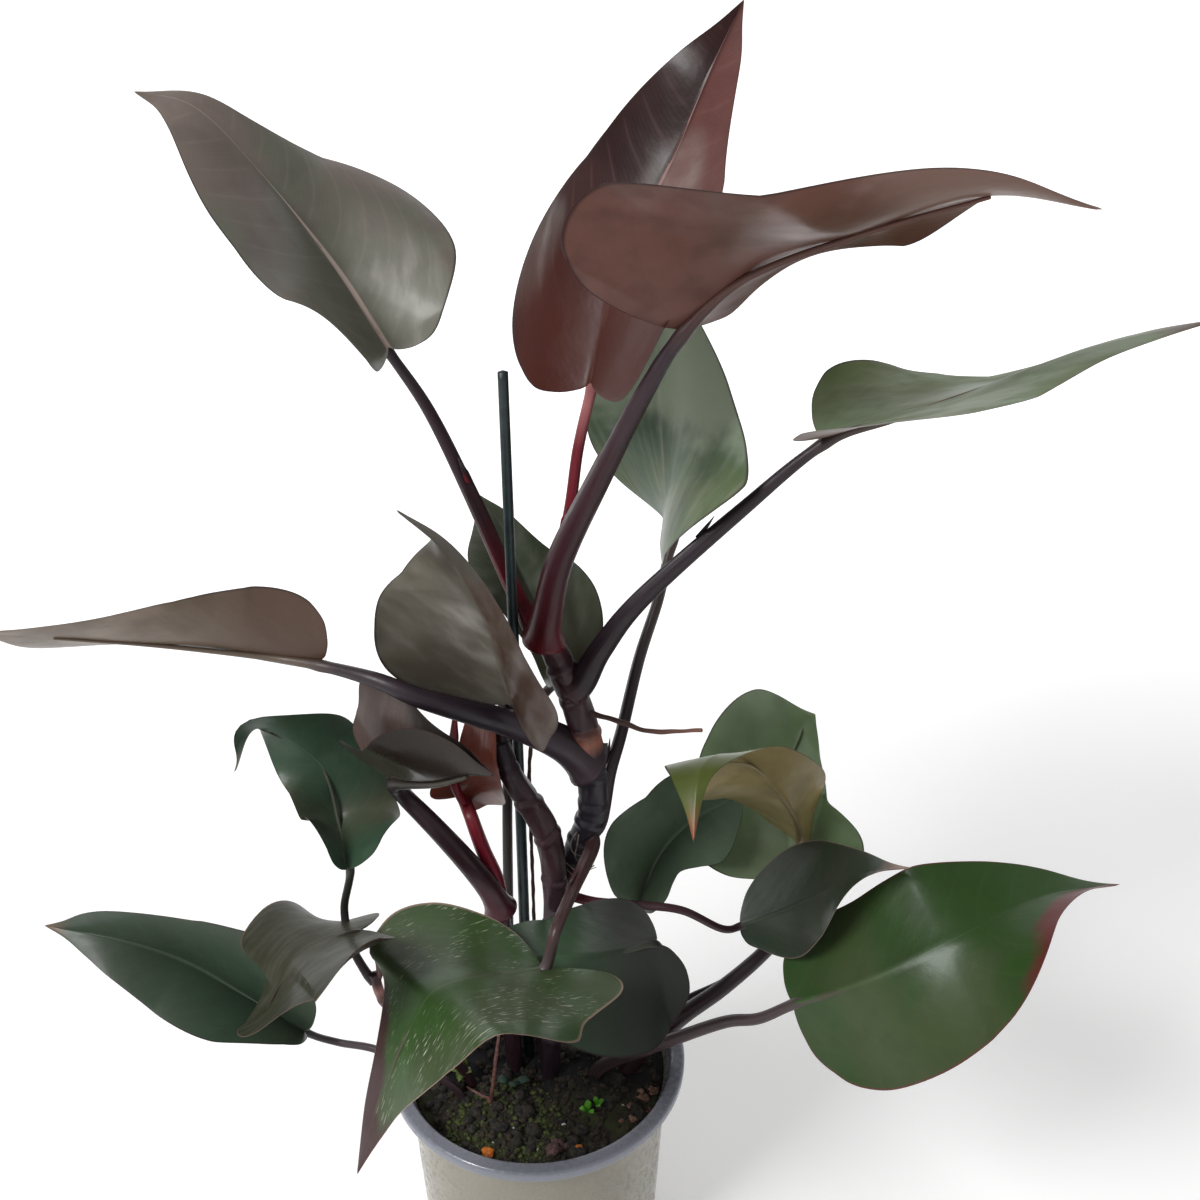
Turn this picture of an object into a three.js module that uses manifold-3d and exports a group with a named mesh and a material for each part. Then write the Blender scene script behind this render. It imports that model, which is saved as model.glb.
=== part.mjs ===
// Young climbing aroid with red stalks and glossy heart-shaped leaves, in a plain tapered pot.
// Four stems and seven lone leaf stalks stand in holes in the soil; every other leaf grows from a stem.
// Millimetres, +Z up, origin at the middle of the pot's underside, the front towards -Y.
import * as THREE from 'three';
import { mergeVertices } from 'three/addons/utils/BufferGeometryUtils.js';
import Module from 'manifold-3d';

const wasm = await Module();
wasm.setup();

// Driving dimensions
const GAP = 0.3;
const POT_HEIGHT = 150;
const POT_FOOT_RADIUS = 69;
const POT_NECK_RADIUS = 75;
const POT_RIM_RADIUS = 85;
const POT_RIM_ROUND = 2.5;
const POT_RIM_INNER_RADIUS = 77;
const POT_WALL = 1.8;
const POT_FLOOR = 2.5;
const POT_SIDES = 40;
const SOIL_RINGS = [60, 46, 32, 16, 0];
const SOIL_TOP = 138;
const SOIL_BUMP = 1.6;
const ROOT_END = 112;
const BLADE_THICKNESS = 0.9;
const BLADE_ROWS = 12;
const BLADE_COLUMNS = 3;
const FRAME_STEPS = 60;
const STALK_STEP = 20;
const STICK_STEP = 120;
const STALK_SIDES = 6;
const STEM_SIDES = 8;
const RIB_STATIONS = [0, 0.2, 0.5, 0.78];
const RIB_SHARES = [1, 0.55, 0.4, 0.25];

const group = new THREE.Group();
const vector = (point) => new THREE.Vector3(...point);
const spline = (points) => new THREE.CatmullRomCurve3(points.map(vector), false, 'catmullrom', 0.5);

function toSolid(geometry) {
  const bare = geometry.clone();
  bare.deleteAttribute('normal');
  bare.deleteAttribute('uv');
  const merged = mergeVertices(bare, 1e-4);
  return new wasm.Manifold(new wasm.Mesh({
    numProp: 3,
    vertProperties: new Float32Array(merged.attributes.position.array),
    triVerts: new Uint32Array(merged.index.array),
  }));
}

function toGeometry(solid) {
  const mesh = solid.getMesh();
  const geometry = new THREE.BufferGeometry();
  geometry.setAttribute('position', new THREE.BufferAttribute(mesh.vertProperties, 3));
  geometry.setIndex(new THREE.BufferAttribute(mesh.triVerts, 1));
  geometry.computeVertexNormals();
  return geometry;
}

function closedGeometry(points, triangles) {
  const geometry = new THREE.BufferGeometry().setFromPoints(points);
  geometry.setIndex(triangles.flat());
  return geometry;
}

// A value read from a list of stations spread evenly over 0..1.
function between(stations, part) {
  const place = THREE.MathUtils.clamp(part, 0, 1) * (stations.length - 1);
  const first = Math.min(Math.floor(place), stations.length - 2);
  return THREE.MathUtils.lerp(stations[first], stations[first + 1], place - first);
}

// A round closed rod through the points, with a radius at each point. Grow swells it on every side.
function rod(points, radii, sides, grow = 0, spacing = STALK_STEP) {
  const path = spline(points);
  const steps = Math.max(3, Math.ceil(path.getLength() / spacing));
  const frames = path.computeFrenetFrames(steps, false);
  const centres = path.getSpacedPoints(steps);
  centres[0].addScaledVector(frames.tangents[0], -grow);
  centres[steps].addScaledVector(frames.tangents[steps], grow);
  const vertices = [];
  const triangles = [];
  for (let step = 0; step <= steps; step += 1) {
    const radius = between(radii, path.getUtoTmapping(step / steps)) + grow;
    for (let side = 0; side < sides; side += 1) {
      const angle = 2 * Math.PI * side / sides;
      const vertex = centres[step].clone();
      vertex.addScaledVector(frames.normals[step], radius * Math.cos(angle));
      vertex.addScaledVector(frames.binormals[step], radius * Math.sin(angle));
      vertices.push(vertex);
    }
  }
  const bottom = vertices.push(centres[0]) - 1;
  const top = vertices.push(centres[steps]) - 1;
  for (let side = 0; side < sides; side += 1) {
    const next = (side + 1) % sides;
    for (let step = 0; step < steps; step += 1) {
      const here = step * sides;
      const above = here + sides;
      triangles.push([here + side, here + next, above + side]);
      triangles.push([here + next, above + next, above + side]);
    }
    triangles.push([bottom, next, side]);
    triangles.push([top, steps * sides + side, steps * sides + next]);
  }
  return toSolid(closedGeometry(vertices, triangles));
}

// Half of a leaf laid flat, from the base notch round the lobe to the tip.
// First number: the way along the midrib, in lobe lengths behind the base, then in leaf lengths.
// Second number: the way out from the midrib, in half widths. A half's belly makes its base part fuller
// and its tip part slimmer by that share, or the other way round where it is below zero.
const LOBE_OUTLINE = [[0, 0], [-0.55, 0.10], [-1.0, 0.32], [-0.85, 0.58]];
const SIDE_OUTLINE = [[0.03, 0.82], [0.15, 0.97], [0.28, 1.0], [0.42, 0.93], [0.56, 0.78], [0.70, 0.56],
  [0.82, 0.32], [0.91, 0.13], [1.0, 0.0]];
const MIDRIB_CROWDING = 1.35;

// Frames along the midrib: the upper side starts as the leaf's face, is carried along and twisted.
function midribFrames(leaf) {
  const path = spline(leaf.midrib);
  const up = vector(leaf.face).normalize();
  const frames = [];
  for (let step = 0; step <= FRAME_STEPS; step += 1) {
    const part = step / FRAME_STEPS;
    const along = path.getTangentAt(part);
    up.addScaledVector(along, -up.dot(along)).normalize();
    const turn = THREE.MathUtils.degToRad(between([0, ...leaf.twist], part));
    const normal = up.clone().applyAxisAngle(along, turn);
    frames.push({ centre: path.getPointAt(part), along, normal, right: along.clone().cross(normal) });
  }
  return { frames, length: path.getLength() };
}

function frameAt(ribs, part) {
  const place = THREE.MathUtils.clamp(part, 0, 1) * FRAME_STEPS;
  const first = Math.min(Math.floor(place), FRAME_STEPS - 1);
  const [low, high] = [ribs.frames[first], ribs.frames[first + 1]];
  const mix = (key) => low[key].clone().lerp(high[key], place - first);
  return { centre: mix('centre'), normal: mix('normal').normalize(), right: mix('right').normalize() };
}

// A point of the blade: each half rises from the midrib by its lift angle and bends on an arc by its curl.
function bladePoint(leaf, ribs, side, along, out) {
  const frame = frameAt(ribs, along);
  frame.centre.addScaledVector(ribs.frames[0].along, Math.min(along, 0) * ribs.length);
  const width = leaf.width[side];
  const lift = THREE.MathUtils.degToRad(between(leaf.lift[side], along));
  const curl = THREE.MathUtils.degToRad(between(leaf.curl[side], along)) + 1e-4;
  const bent = lift + curl * out;
  const outward = (side ? 1 : -1) * width * (Math.sin(bent) - Math.sin(lift)) / curl;
  frame.centre.addScaledVector(frame.right, outward);
  frame.centre.addScaledVector(frame.normal, width * (Math.cos(lift) - Math.cos(bent)) / curl);
  return frame.centre;
}

// The blade's middle surface: rows that run from the midrib out to the margin, a base and a tip point.
function bladeSurface(leaf, ribs) {
  const points = [bladePoint(leaf, ribs, 0, 0, 0), bladePoint(leaf, ribs, 0, 1, 0)];
  const rows = [];
  const outlines = leaf.lobe.map((lobe, side) => {
    const fullness = (along) => 1 + leaf.belly[side] * Math.sin(2 * Math.PI * along);
    return spline([
      ...LOBE_OUTLINE.map(([along, out]) => [along * lobe, out, 0]),
      ...SIDE_OUTLINE.map(([along, out]) => [along, out * fullness(along), 0]),
    ]);
  });
  for (let row = 1; row < BLADE_ROWS; row += 1) {
    const part = row / BLADE_ROWS;
    const root = part ** MIDRIB_CROWDING;
    const line = [];
    for (let column = -BLADE_COLUMNS; column <= BLADE_COLUMNS; column += 1) {
      const side = column > 0 ? 1 : 0;
      const reach = Math.abs(column) / BLADE_COLUMNS;
      const edge = outlines[side].getPoint(part);
      const along = root + (edge.x - root) * reach;
      line.push(points.push(bladePoint(leaf, ribs, side, along, edge.y * reach)) - 1);
    }
    rows.push(line);
  }
  const triangles = [];
  for (let column = 0; column < 2 * BLADE_COLUMNS; column += 1) {
    triangles.push([0, rows[0][column + 1], rows[0][column]]);
    triangles.push([1, rows.at(-1)[column], rows.at(-1)[column + 1]]);
    for (let row = 0; row + 1 < rows.length; row += 1) {
      const [low, high] = [rows[row], rows[row + 1]];
      triangles.push([low[column], low[column + 1], high[column]]);
      triangles.push([low[column + 1], high[column + 1], high[column]]);
    }
  }
  return { points, triangles };
}

// A closed plate: the surface moved half the thickness to each side, split alike on both faces.
function plate({ points, triangles }, thickness) {
  const shade = closedGeometry(points, triangles);
  shade.computeVertexNormals();
  const normals = shade.attributes.normal;
  const shifted = (way) => points.map((point, index) => {
    const normal = new THREE.Vector3().fromBufferAttribute(normals, index);
    return point.clone().addScaledVector(normal, way * thickness / 2);
  });
  const count = points.length;
  const edges = new Set(triangles.flatMap(([a, b, c]) => [`${a} ${b}`, `${b} ${c}`, `${c} ${a}`]));
  const faces = triangles.flatMap(([a, b, c]) => [[a, b, c], [a + count, c + count, b + count]]);
  for (const edge of edges) {
    const [from, to] = edge.split(' ').map(Number);
    if (!edges.has(`${to} ${from}`)) {
      faces.push([to, from, from + count], [to, from + count, to + count]);
    }
  }
  return toSolid(closedGeometry([...shifted(1), ...shifted(-1)], faces));
}

// One leaf: its stalk from the stem or soil up to the base, running on as the raised midrib below the blade.
function leafSolid(leaf, grow = 0) {
  const ribs = midribFrames(leaf);
  const [foot, neck] = leaf.radius;
  const ribRadii = RIB_SHARES.map((share) => neck * share);
  const ribPoints = RIB_STATIONS.map((part, index) => {
    const { centre, normal } = frameAt(ribs, part);
    return centre.addScaledVector(normal, -ribRadii[index]).toArray();
  });
  const stalkRadius = (point, index) => THREE.MathUtils.lerp(foot, neck, index / leaf.stalk.length);
  const radii = [...leaf.stalk.map(stalkRadius), ...ribRadii];
  const stalk = rod([...leaf.stalk, ...ribPoints], radii, STALK_SIDES, grow);
  const blade = plate(bladeSurface(leaf, ribs), BLADE_THICKNESS + 2 * grow);
  return stalk.add(blade);
}

// The largest piece left when a solid is cut by what it grows from or leans on.
function cutBy(solid, clearances) {
  const cut = clearances.reduce((rest, clearance) => rest.subtract(clearance), solid);
  return cut.decompose().reduce((best, piece) => (piece.volume() > best.volume() ? piece : best));
}

function add(name, geometry, color, roughness) {
  const mesh = new THREE.Mesh(geometry, new THREE.MeshStandardMaterial({ color, roughness, metalness: 0 }));
  mesh.name = name;
  group.add(mesh);
}

// Stems, from below the soil to their growing ends
const STEMS = {
  stem_main: {
    points: [[4, 8, ROOT_END], [5, 8, 142], [14, 7, 252], [21, 4, 284], [31, 0, 318], [32, 0, 346],
      [26, 0, 380], [17, 0, 408], [8, 0, 430]],
    radii: [6, 6, 6, 6.5, 7.5, 7.5, 7.5, 7.2, 6],
    color: 0x3b2f37,
  },
  stem_second: {
    points: [[6, -6, ROOT_END], [7, -6, 142], [11, -7, 250], [12, -8, 286], [8, -8, 314], [-1, -7, 333],
      [-10, -5, 350], [-14, -1, 364]],
    radii: [5.8, 5.8, 6, 6.6, 7, 6.6, 5.6, 4.4],
    color: 0x4a3237,
  },
  stem_third: {
    points: [[-14, 0, ROOT_END], [-14, 0, 142], [-17, 0, 230], [-18, 0, 262]],
    radii: [5, 5, 5, 4.5],
    color: 0x40343a,
  },
  stem_left: {
    points: [[-34, -13, ROOT_END], [-40, -15, 146], [-58, -25, 184], [-77, -37, 222], [-83, -34, 241]],
    radii: [2.8, 2.8, 2.6, 2.6, 2.8],
    color: 0x6a4a45,
  },
};
const stemSolid = (stem, grow) => rod(stem.points, stem.radii, STEM_SIDES, grow);

// Leaves, in growing order down each stem. Midrib from base to tip; face is the way the upper side looks
// at the base; twist at mid and tip, lift and curl (left, right half) at base, mid and tip, in degrees.
// Width, lobe and belly are those of the left and the right half.
const LEAVES = {
  leaf_top_right: {
    grows_from: 'stem_main',
    stalk: [[9, 0, 422], [11, -2, 437], [18, -4, 468], [36, -11, 511], [54, -22, 553]],
    radius: [8, 3],
    midrib: [[69, -23, 582], [98, -34, 610], [133, -58, 629], [173, -75, 645], [209, -90, 643]],
    face: [-0.2, 0.8, 0.55],
    twist: [10, 10],
    width: [54, 88],
    lobe: [0.04, 0.04],
    belly: [-0.35, 0.05],
    lift: [[50, 30, 40], [5, -20, -5]],
    curl: [[-50, -50, -40], [-5, 30, 25]],
    color: 0x69504a,
  },
  leaf_top_left: {
    grows_from: 'stem_main',
    stalk: [[8, 4, 418], [2, 11, 425], [-8, 19, 444], [-25, 21, 489], [-43, 25, 530]],
    radius: [5.2, 2.4],
    midrib: [[-61, 33, 558], [-84, 40, 594], [-111, 38, 633], [-136, 39, 660], [-164, 47, 666]],
    face: [0.35, -0.7, 0.65],
    twist: [20, 5],
    width: [60, 44],
    lobe: [0.04, 0.04],
    belly: [0.05, 0.35],
    lift: [[35, 15, 10], [70, 20, -10]],
    curl: [[45, -5, -35], [-50, -50, -50]],
    color: 0x64625a,
  },
  leaf_top_middle: {
    grows_from: 'stem_main',
    stalk: [[10, 2, 424], [9, 6, 430], [15, 7, 452], [22, 10, 488], [26, 14, 516]],
    radius: [3.2, 2.5],
    midrib: [[32, 17, 546], [44, 36, 590], [68, 47, 638], [84, 51, 675], [98, 67, 701]],
    face: [-0.3, -0.9, 0.3],
    twist: [0, 15],
    width: [55, 62],
    lobe: [0.04, 0.04],
    belly: [0.1, 0.1],
    lift: [[-10, -10, 5], [42, 36, 45]],
    curl: [[-25, -25, -30], [20, 10, 30]],
    color: 0x5c2a2a,
  },
  leaf_right: {
    grows_from: 'stem_main',
    stalk: [[22, 0, 396], [28, -1, 402], [37, -2, 420], [56, -2, 447], [100, -1, 491]],
    radius: [8, 2.6],
    midrib: [[135, -4, 528], [162, -9, 539], [189, -12, 549], [239, -16, 571], [287, -27, 587]],
    face: [0, 0.15, 1],
    twist: [0, -5],
    width: [105, 83],
    lobe: [0.04, 0.04],
    belly: [-0.1, 0.2],
    lift: [[7, -13, 6], [12, 0, -5]],
    curl: [[18, 12, -38], [3, 3, 0]],
    color: 0x6e8255,
  },
  leaf_left: {
    grows_from: 'stem_main',
    stalk: [[30, 0, 350], [16, -5, 366], [-5, -14, 383], [-26, -30, 401], [-48, -38, 414],
      [-68, -34, 421]],
    radius: [9.5, 2.6],
    midrib: [[-95, -20, 423], [-127, -15, 424], [-159, -18, 430], [-193, -34, 442], [-232, -63, 462]],
    face: [0, 0.75, 0.65],
    twist: [-10, 0],
    width: [51, 64],
    lobe: [0.04, 0.05],
    belly: [-0.1, -0.05],
    lift: [[15, 10, 0], [5, 5, -10]],
    curl: [[35, 20, -5], [10, 10, 20]],
    color: 0x695850,
  },
  leaf_back: {
    grows_from: 'stem_main',
    stalk: [[28, 2, 303], [36, 5, 310], [41, 10, 338], [47, 19, 357], [56, 35, 391], [66, 50, 418],
      [71, 60, 437]],
    radius: [4, 2.5],
    midrib: [[73, 67, 452], [69, 76, 489], [65, 81, 532], [61, 88, 566], [57, 96, 590]],
    face: [-0.95, -0.2, 0.3],
    twist: [20, 35],
    width: [40, 87],
    lobe: [0.06, 0.07],
    belly: [0.2, 0.15],
    lift: [[-20, 30, 65], [35, 25, 5]],
    curl: [[25, 30, 30], [-35, -35, -30]],
    color: 0x697d64,
  },
  leaf_front: {
    grows_from: 'stem_main',
    stalk: [[31, 0, 306], [32, -9, 303], [23, -36, 300], [15, -65, 300]],
    radius: [3.6, 2.8],
    midrib: [[7, -74, 282], [-35, -97, 294], [-49, -110, 284], [-63, -125, 255], [-75, -143, 223]],
    face: [-0.5, -0.05, 0.85],
    twist: [0, -5],
    width: [61, 66],
    lobe: [0.2, 0.04],
    belly: [0.3, 0.3],
    lift: [[5, 0, 10], [0, -15, -5]],
    curl: [[-20, 25, 30], [20, 10, -20]],
    color: 0x4b5f41,
  },
  leaf_right_small: {
    grows_from: 'stem_main',
    stalk: [[15, 6, 261], [30, 2, 259], [41, 0, 259], [61, -4, 261], [81, -6, 259], [103, -1, 242]],
    radius: [2.6, 2],
    midrib: [[114, 7, 238], [133, -3, 255], [154, -13, 277], [174, -21, 297], [194, -25, 304]],
    face: [0, -0.5, 0.85],
    twist: [-10, -40],
    width: [46, 25],
    lobe: [0.04, 0.04],
    belly: [0.05, 0],
    lift: [[-30, -15, 5], [-50, -5, 45]],
    curl: [[10, 5, 0], [-15, -5, 10]],
    color: 0x37413c,
  },
  leaf_centre: {
    grows_from: 'stem_second',
    stalk: [[-12, -3, 358], [-14, 1, 370], [-13, 2, 381], [-10, -4, 391]],
    radius: [3, 2.4],
    midrib: [[-6, -24, 402], [-13, -33, 441], [-20, -43, 470], [-31, -48, 494], [-50, -45, 511]],
    face: [-0.5, -0.65, 0.55],
    twist: [-5, -20],
    width: [62, 44],
    lobe: [0.06, 0.12],
    belly: [0.05, 0.1],
    lift: [[0, -5, -25], [30, 15, -25]],
    curl: [[50, 45, 35], [-25, 0, 25]],
    color: 0x69645a,
  },
  leaf_folded: {
    grows_from: 'stem_third',
    stalk: [[-18, 0, 255], [-23, -4, 272], [-33, -8, 293], [-48, -10, 317], [-62, -9, 335]],
    radius: [7, 4],
    midrib: [[-68, -18, 354], [-53, -35, 364], [-38, -51, 376], [-25, -62, 387], [-11, -73, 395]],
    face: [-0.5, 0, 0.85],
    twist: [0, -30],
    width: [48, 46],
    lobe: [0.2, 0.04],
    belly: [0.2, -0.3],
    lift: [[75, 70, 75], [75, 70, 80]],
    curl: [[5, -10, 10], [5, -5, 15]],
    color: 0x4b463e,
  },
  leaf_new: {
    grows_from: 'stem_third',
    stalk: [[-18, 0, 255], [-20, 1, 275], [-26, 1, 295], [-31, 1, 315]],
    radius: [4.6, 3.4],
    midrib: [[-38, 13, 321], [-25, 2, 353], [-21, 1, 379], [-19, 7, 396], [-17, 17, 405]],
    face: [0, -0.85, 0.55],
    twist: [-45, -25],
    width: [23, 19],
    lobe: [0.04, 0.1],
    belly: [-0.45, 0.2],
    lift: [[35, 5, -20], [-20, -5, 5]],
    curl: [[15, 5, -5], [10, 5, 5]],
    color: 0x7a4033,
  },
  leaf_left_low: {
    grows_from: 'stem_left',
    stalk: [[-83, -34, 236], [-87, -33, 241], [-95, -26, 254], [-98, -19, 272]],
    radius: [2.4, 2],
    midrib: [[-91, -30, 308], [-102, 4, 312], [-110, 13, 341], [-138, 8, 367], [-153, 6, 341]],
    face: [-0.2, -0.75, 0.65],
    twist: [20, -85],
    width: [25, 33],
    lobe: [0.04, 0.05],
    belly: [-0.05, 0],
    lift: [[75, 20, -25], [25, -10, -20]],
    curl: [[40, 15, 10], [-40, -50, 30]],
    color: 0x324637,
  },
  leaf_small: {
    grows_from: 'stem_left',
    stalk: [[-83, -34, 236], [-80, -34, 240], [-80, -36, 254]],
    radius: [1.8, 1.3],
    midrib: [[-85, -42, 278], [-99, -49, 278], [-115, -58, 273], [-126, -71, 256], [-144, -69, 238]],
    face: [-0.2, 0.65, 0.7],
    twist: [-10, 20],
    width: [71, 71],
    lobe: [0.1, 0.18],
    belly: [0.25, 0.1],
    lift: [[-25, -10, 10], [20, 20, 35]],
    curl: [[40, 0, -20], [-30, 10, 50]],
    color: 0x505046,
  },
  leaf_inner_back: {
    grows_from: 'soil',
    stalk: [[-18, 16, ROOT_END], [-18, 17, 142], [-16, 24, 232], [-14, 32, 318], [-9, 42, 349],
      [7, 51, 362]],
    radius: [3, 2.6],
    midrib: [[15, 40, 381], [10, 50, 400], [-4, 62, 426], [-16, 71, 453], [-31, 78, 469]],
    face: [-0.1, -0.8, 0.55],
    twist: [10, -20],
    width: [50, 39],
    lobe: [0.05, 0.04],
    belly: [-0.1, 0.15],
    lift: [[75, 55, 35], [55, 50, 40]],
    curl: [[20, 15, 5], [-5, -10, -10]],
    color: 0x3c463c,
  },
  leaf_low_left: {
    grows_from: 'soil',
    stalk: [[-40, -25, ROOT_END], [-44, -24, 142], [-66, -20, 157], [-92, -11, 162], [-115, -3, 159]],
    radius: [2.4, 2],
    midrib: [[-132, -8, 173], [-165, 6, 185], [-201, 15, 204], [-239, 16, 220], [-281, 23, 223]],
    face: [0.1, -0.65, 0.75],
    twist: [-10, -10],
    width: [39, 64],
    lobe: [0.04, 0.04],
    belly: [0, 0.05],
    lift: [[80, 40, 10], [75, 60, 45]],
    curl: [[-35, -25, -20], [-30, -5, 15]],
    color: 0x2d4137,
  },
  leaf_front_middle: {
    grows_from: 'soil',
    stalk: [[30, 10, ROOT_END], [31, 10, 142], [50, 1, 185], [67, -21, 233]],
    radius: [2.6, 2.2],
    midrib: [[65, -36, 264], [41, -47, 267], [15, -53, 270], [-15, -54, 267], [-43, -49, 253]],
    face: [0, -0.45, 0.9],
    twist: [20, 0],
    width: [54, 44],
    lobe: [0.13, 0.04],
    belly: [-0.05, -0.05],
    lift: [[-35, -15, 0], [-20, -15, -5]],
    curl: [[20, 10, 10], [0, 0, 0]],
    color: 0x32463c,
  },
  leaf_low_right: {
    grows_from: 'soil',
    stalk: [[32, -4, ROOT_END], [37, -5, 142], [76, -12, 170], [105, -18, 190], [123, -25, 200]],
    radius: [4.3, 2.8],
    midrib: [[140, -32, 218], [175, -46, 248], [214, -47, 276], [257, -39, 296], [296, -38, 304]],
    face: [-0.2, -0.65, 0.7],
    twist: [0, -40],
    width: [51, 60],
    lobe: [0.04, 0.04],
    belly: [-0.15, -0.1],
    lift: [[-30, -15, -5], [-40, 5, 50]],
    curl: [[10, 15, 25], [35, 15, -10]],
    color: 0x37552d,
  },
  leaf_back_small: {
    grows_from: 'soil',
    stalk: [[20, 25, ROOT_END], [21, 26, 142], [44, 36, 188], [56, 42, 208]],
    radius: [2.3, 1.9],
    midrib: [[59, 37, 228], [70, 55, 246], [88, 66, 263], [110, 73, 273], [123, 77, 284]],
    face: [-0.15, -0.7, 0.7],
    twist: [15, 5],
    width: [59, 39],
    lobe: [0.05, 0.05],
    belly: [0.05, -0.4],
    lift: [[75, 50, 10], [60, 45, 20]],
    curl: [[-10, 5, 5], [-5, -5, -10]],
    color: 0x324137,
  },
  leaf_drooping: {
    grows_from: 'soil',
    stalk: [[52, -4, ROOT_END], [54, -3, 142], [81, 1, 173], [105, 8, 189], [129, 21, 203],
      [149, 38, 215], [154, 44, 240]],
    radius: [6, 2.7],
    midrib: [[151, 49, 261], [135, 23, 313], [105, 1, 354], [85, -31, 369], [80, -58, 346]],
    face: [-0.1, 0.85, 0.5],
    twist: [25, -25],
    width: [23, 46],
    lobe: [0.08, 0.04],
    belly: [0.15, -0.2],
    lift: [[65, -5, -60], [60, 25, 5]],
    curl: [[-25, -15, -10], [-30, -15, -5]],
    color: 0x6f7a3c,
  },
  leaf_back_right: {
    grows_from: 'soil',
    stalk: [[52, 20, ROOT_END], [55, 20, 142], [72, 19, 160], [89, 19, 172], [113, 27, 180],
      [137, 43, 193]],
    radius: [2.5, 2],
    midrib: [[148, 60, 230], [150, 73, 247], [148, 86, 283], [152, 85, 314], [155, 60, 342]],
    face: [-0.5, -0.8, 0.35],
    twist: [-25, -10],
    width: [67, 49],
    lobe: [0.04, 0.04],
    belly: [-0.05, 0.1],
    lift: [[45, 25, 0], [0, 5, 5]],
    curl: [[-20, -15, -20], [10, 20, 30]],
    color: 0x324137,
  },
};

// Aerial roots, the rolled new leaf and the support stick
const RODS = {
  aerial_root: {
    grows_from: ['stem_main'],
    points: [[26, 0, 384], [33, -4, 383], [46, -8, 381], [61, -12, 378], [86, -14, 380]],
    radii: [1.6, 1.4, 1.3, 1.2, 0.9],
    color: 0x4a3a36,
  },
  hanging_root: {
    grows_from: ['leaf_left'],
    points: [[2, -8, 374], [1, 2, 360], [-1, 10, 330], [-1, 15, 249], [-2, 17, 160], [-2, 17, ROOT_END]],
    radii: [1.2, 1.1, 1, 1, 1, 1],
    color: 0x8a8380,
  },
  rolled_leaf: {
    grows_from: ['leaf_new'],
    points: [[-35, 4, 322], [-40, 7, 334], [-40, 5, 349], [-38, 3, 365], [-36, 2, 387]],
    radii: [2, 2.4, 2.6, 2.2, 0.6],
    color: 0x5a2326,
  },
  support_stick: {
    grows_from: [],
    points: [[-6, 8, ROOT_END], [-6, 8, 330], [-7, 8, 554]],
    radii: [3.2, 2.8, 2.4],
    spacing: STICK_STEP,
    color: 0x2f4644,
  },
};

// Everything that grows is cut clear of what it grows from, and of the parts already placed there.
const solids = {};
const clearances = {};
for (const [name, stem] of Object.entries(STEMS)) {
  solids[name] = stemSolid(stem, 0);
  clearances[name] = stemSolid(stem, GAP);
}
for (const [name, leaf] of Object.entries(LEAVES)) {
  const placed = Object.keys(LEAVES).filter((other) => solids[other]);
  const touched = placed.filter((other) => LEAVES[other].grows_from === leaf.grows_from);
  const cutters = leaf.grows_from === 'soil' ? [] : [leaf.grows_from, ...touched];
  solids[name] = cutBy(leafSolid(leaf), cutters.map((other) => clearances[other]));
  clearances[name] = leafSolid(leaf, GAP);
}
for (const [name, part] of Object.entries(RODS)) {
  const cutters = part.grows_from.map((other) => clearances[other]);
  solids[name] = cutBy(rod(part.points, part.radii, STALK_SIDES, 0, part.spacing), cutters);
  clearances[name] = rod(part.points, part.radii, STALK_SIDES, GAP, part.spacing);
}
for (const [name, { color }] of Object.entries({ ...STEMS, ...LEAVES, ...RODS })) {
  add(name, toGeometry(solids[name]), color, name.startsWith('leaf') ? 0.4 : 0.6);
}

// Pot: one moulded shell with a rolled rim that turns inward, closed at the foot.
function upright(profile) {
  const points = profile.map((point) => new THREE.Vector2(...point));
  return new THREE.LatheGeometry(points, POT_SIDES).rotateX(Math.PI / 2);
}

const POT_PROFILE = [
  [0, 0],
  [POT_FOOT_RADIUS, 0],
  [POT_NECK_RADIUS, SOIL_TOP],
  [POT_NECK_RADIUS + 3, SOIL_TOP + 3],
  [POT_RIM_RADIUS, POT_HEIGHT - 6],
  [POT_RIM_RADIUS, POT_HEIGHT - POT_RIM_ROUND],
  [POT_RIM_RADIUS - 1.5, POT_HEIGHT - 0.5],
  [POT_RIM_RADIUS - POT_RIM_ROUND - 1, POT_HEIGHT],
  [POT_RIM_INNER_RADIUS + POT_RIM_ROUND, POT_HEIGHT],
  [POT_RIM_INNER_RADIUS + 0.8, POT_HEIGHT - 1],
  [POT_RIM_INNER_RADIUS, POT_HEIGHT - 4],
  [POT_NECK_RADIUS - POT_WALL, SOIL_TOP],
  [POT_FOOT_RADIUS - POT_WALL, POT_FLOOR],
  [0, POT_FLOOR],
];
add('pot', toGeometry(toSolid(upright(POT_PROFILE))), 0xb4ac9b, 0.65);

// Soil: fills the pot to a little under the rim, with a lumpy top and a hole for each stem that stands in it.
const SOIL_EDGE = POT_WALL + 2 * GAP;
const SOIL_PROFILE = [
  [0, POT_FLOOR + GAP],
  [POT_FOOT_RADIUS - SOIL_EDGE, POT_FLOOR + GAP],
  [POT_NECK_RADIUS - SOIL_EDGE, SOIL_TOP - 1],
  ...SOIL_RINGS.map((radius) => [radius, SOIL_TOP]),
];
const soilGeometry = upright(SOIL_PROFILE);
const soilPoints = soilGeometry.attributes.position;
for (let index = 0; index < soilPoints.count; index += 1) {
  const [x, y, z] = [soilPoints.getX(index), soilPoints.getY(index), soilPoints.getZ(index)];
  if (z >= SOIL_TOP) {
    soilPoints.setZ(index, z + SOIL_BUMP * Math.sin(x / 9 + 1) * Math.cos(y / 11));
  }
}
const planted = Object.keys(clearances).filter((name) => clearances[name].boundingBox().min[2] < SOIL_TOP);
const holes = planted.map((name) => clearances[name]);
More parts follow.
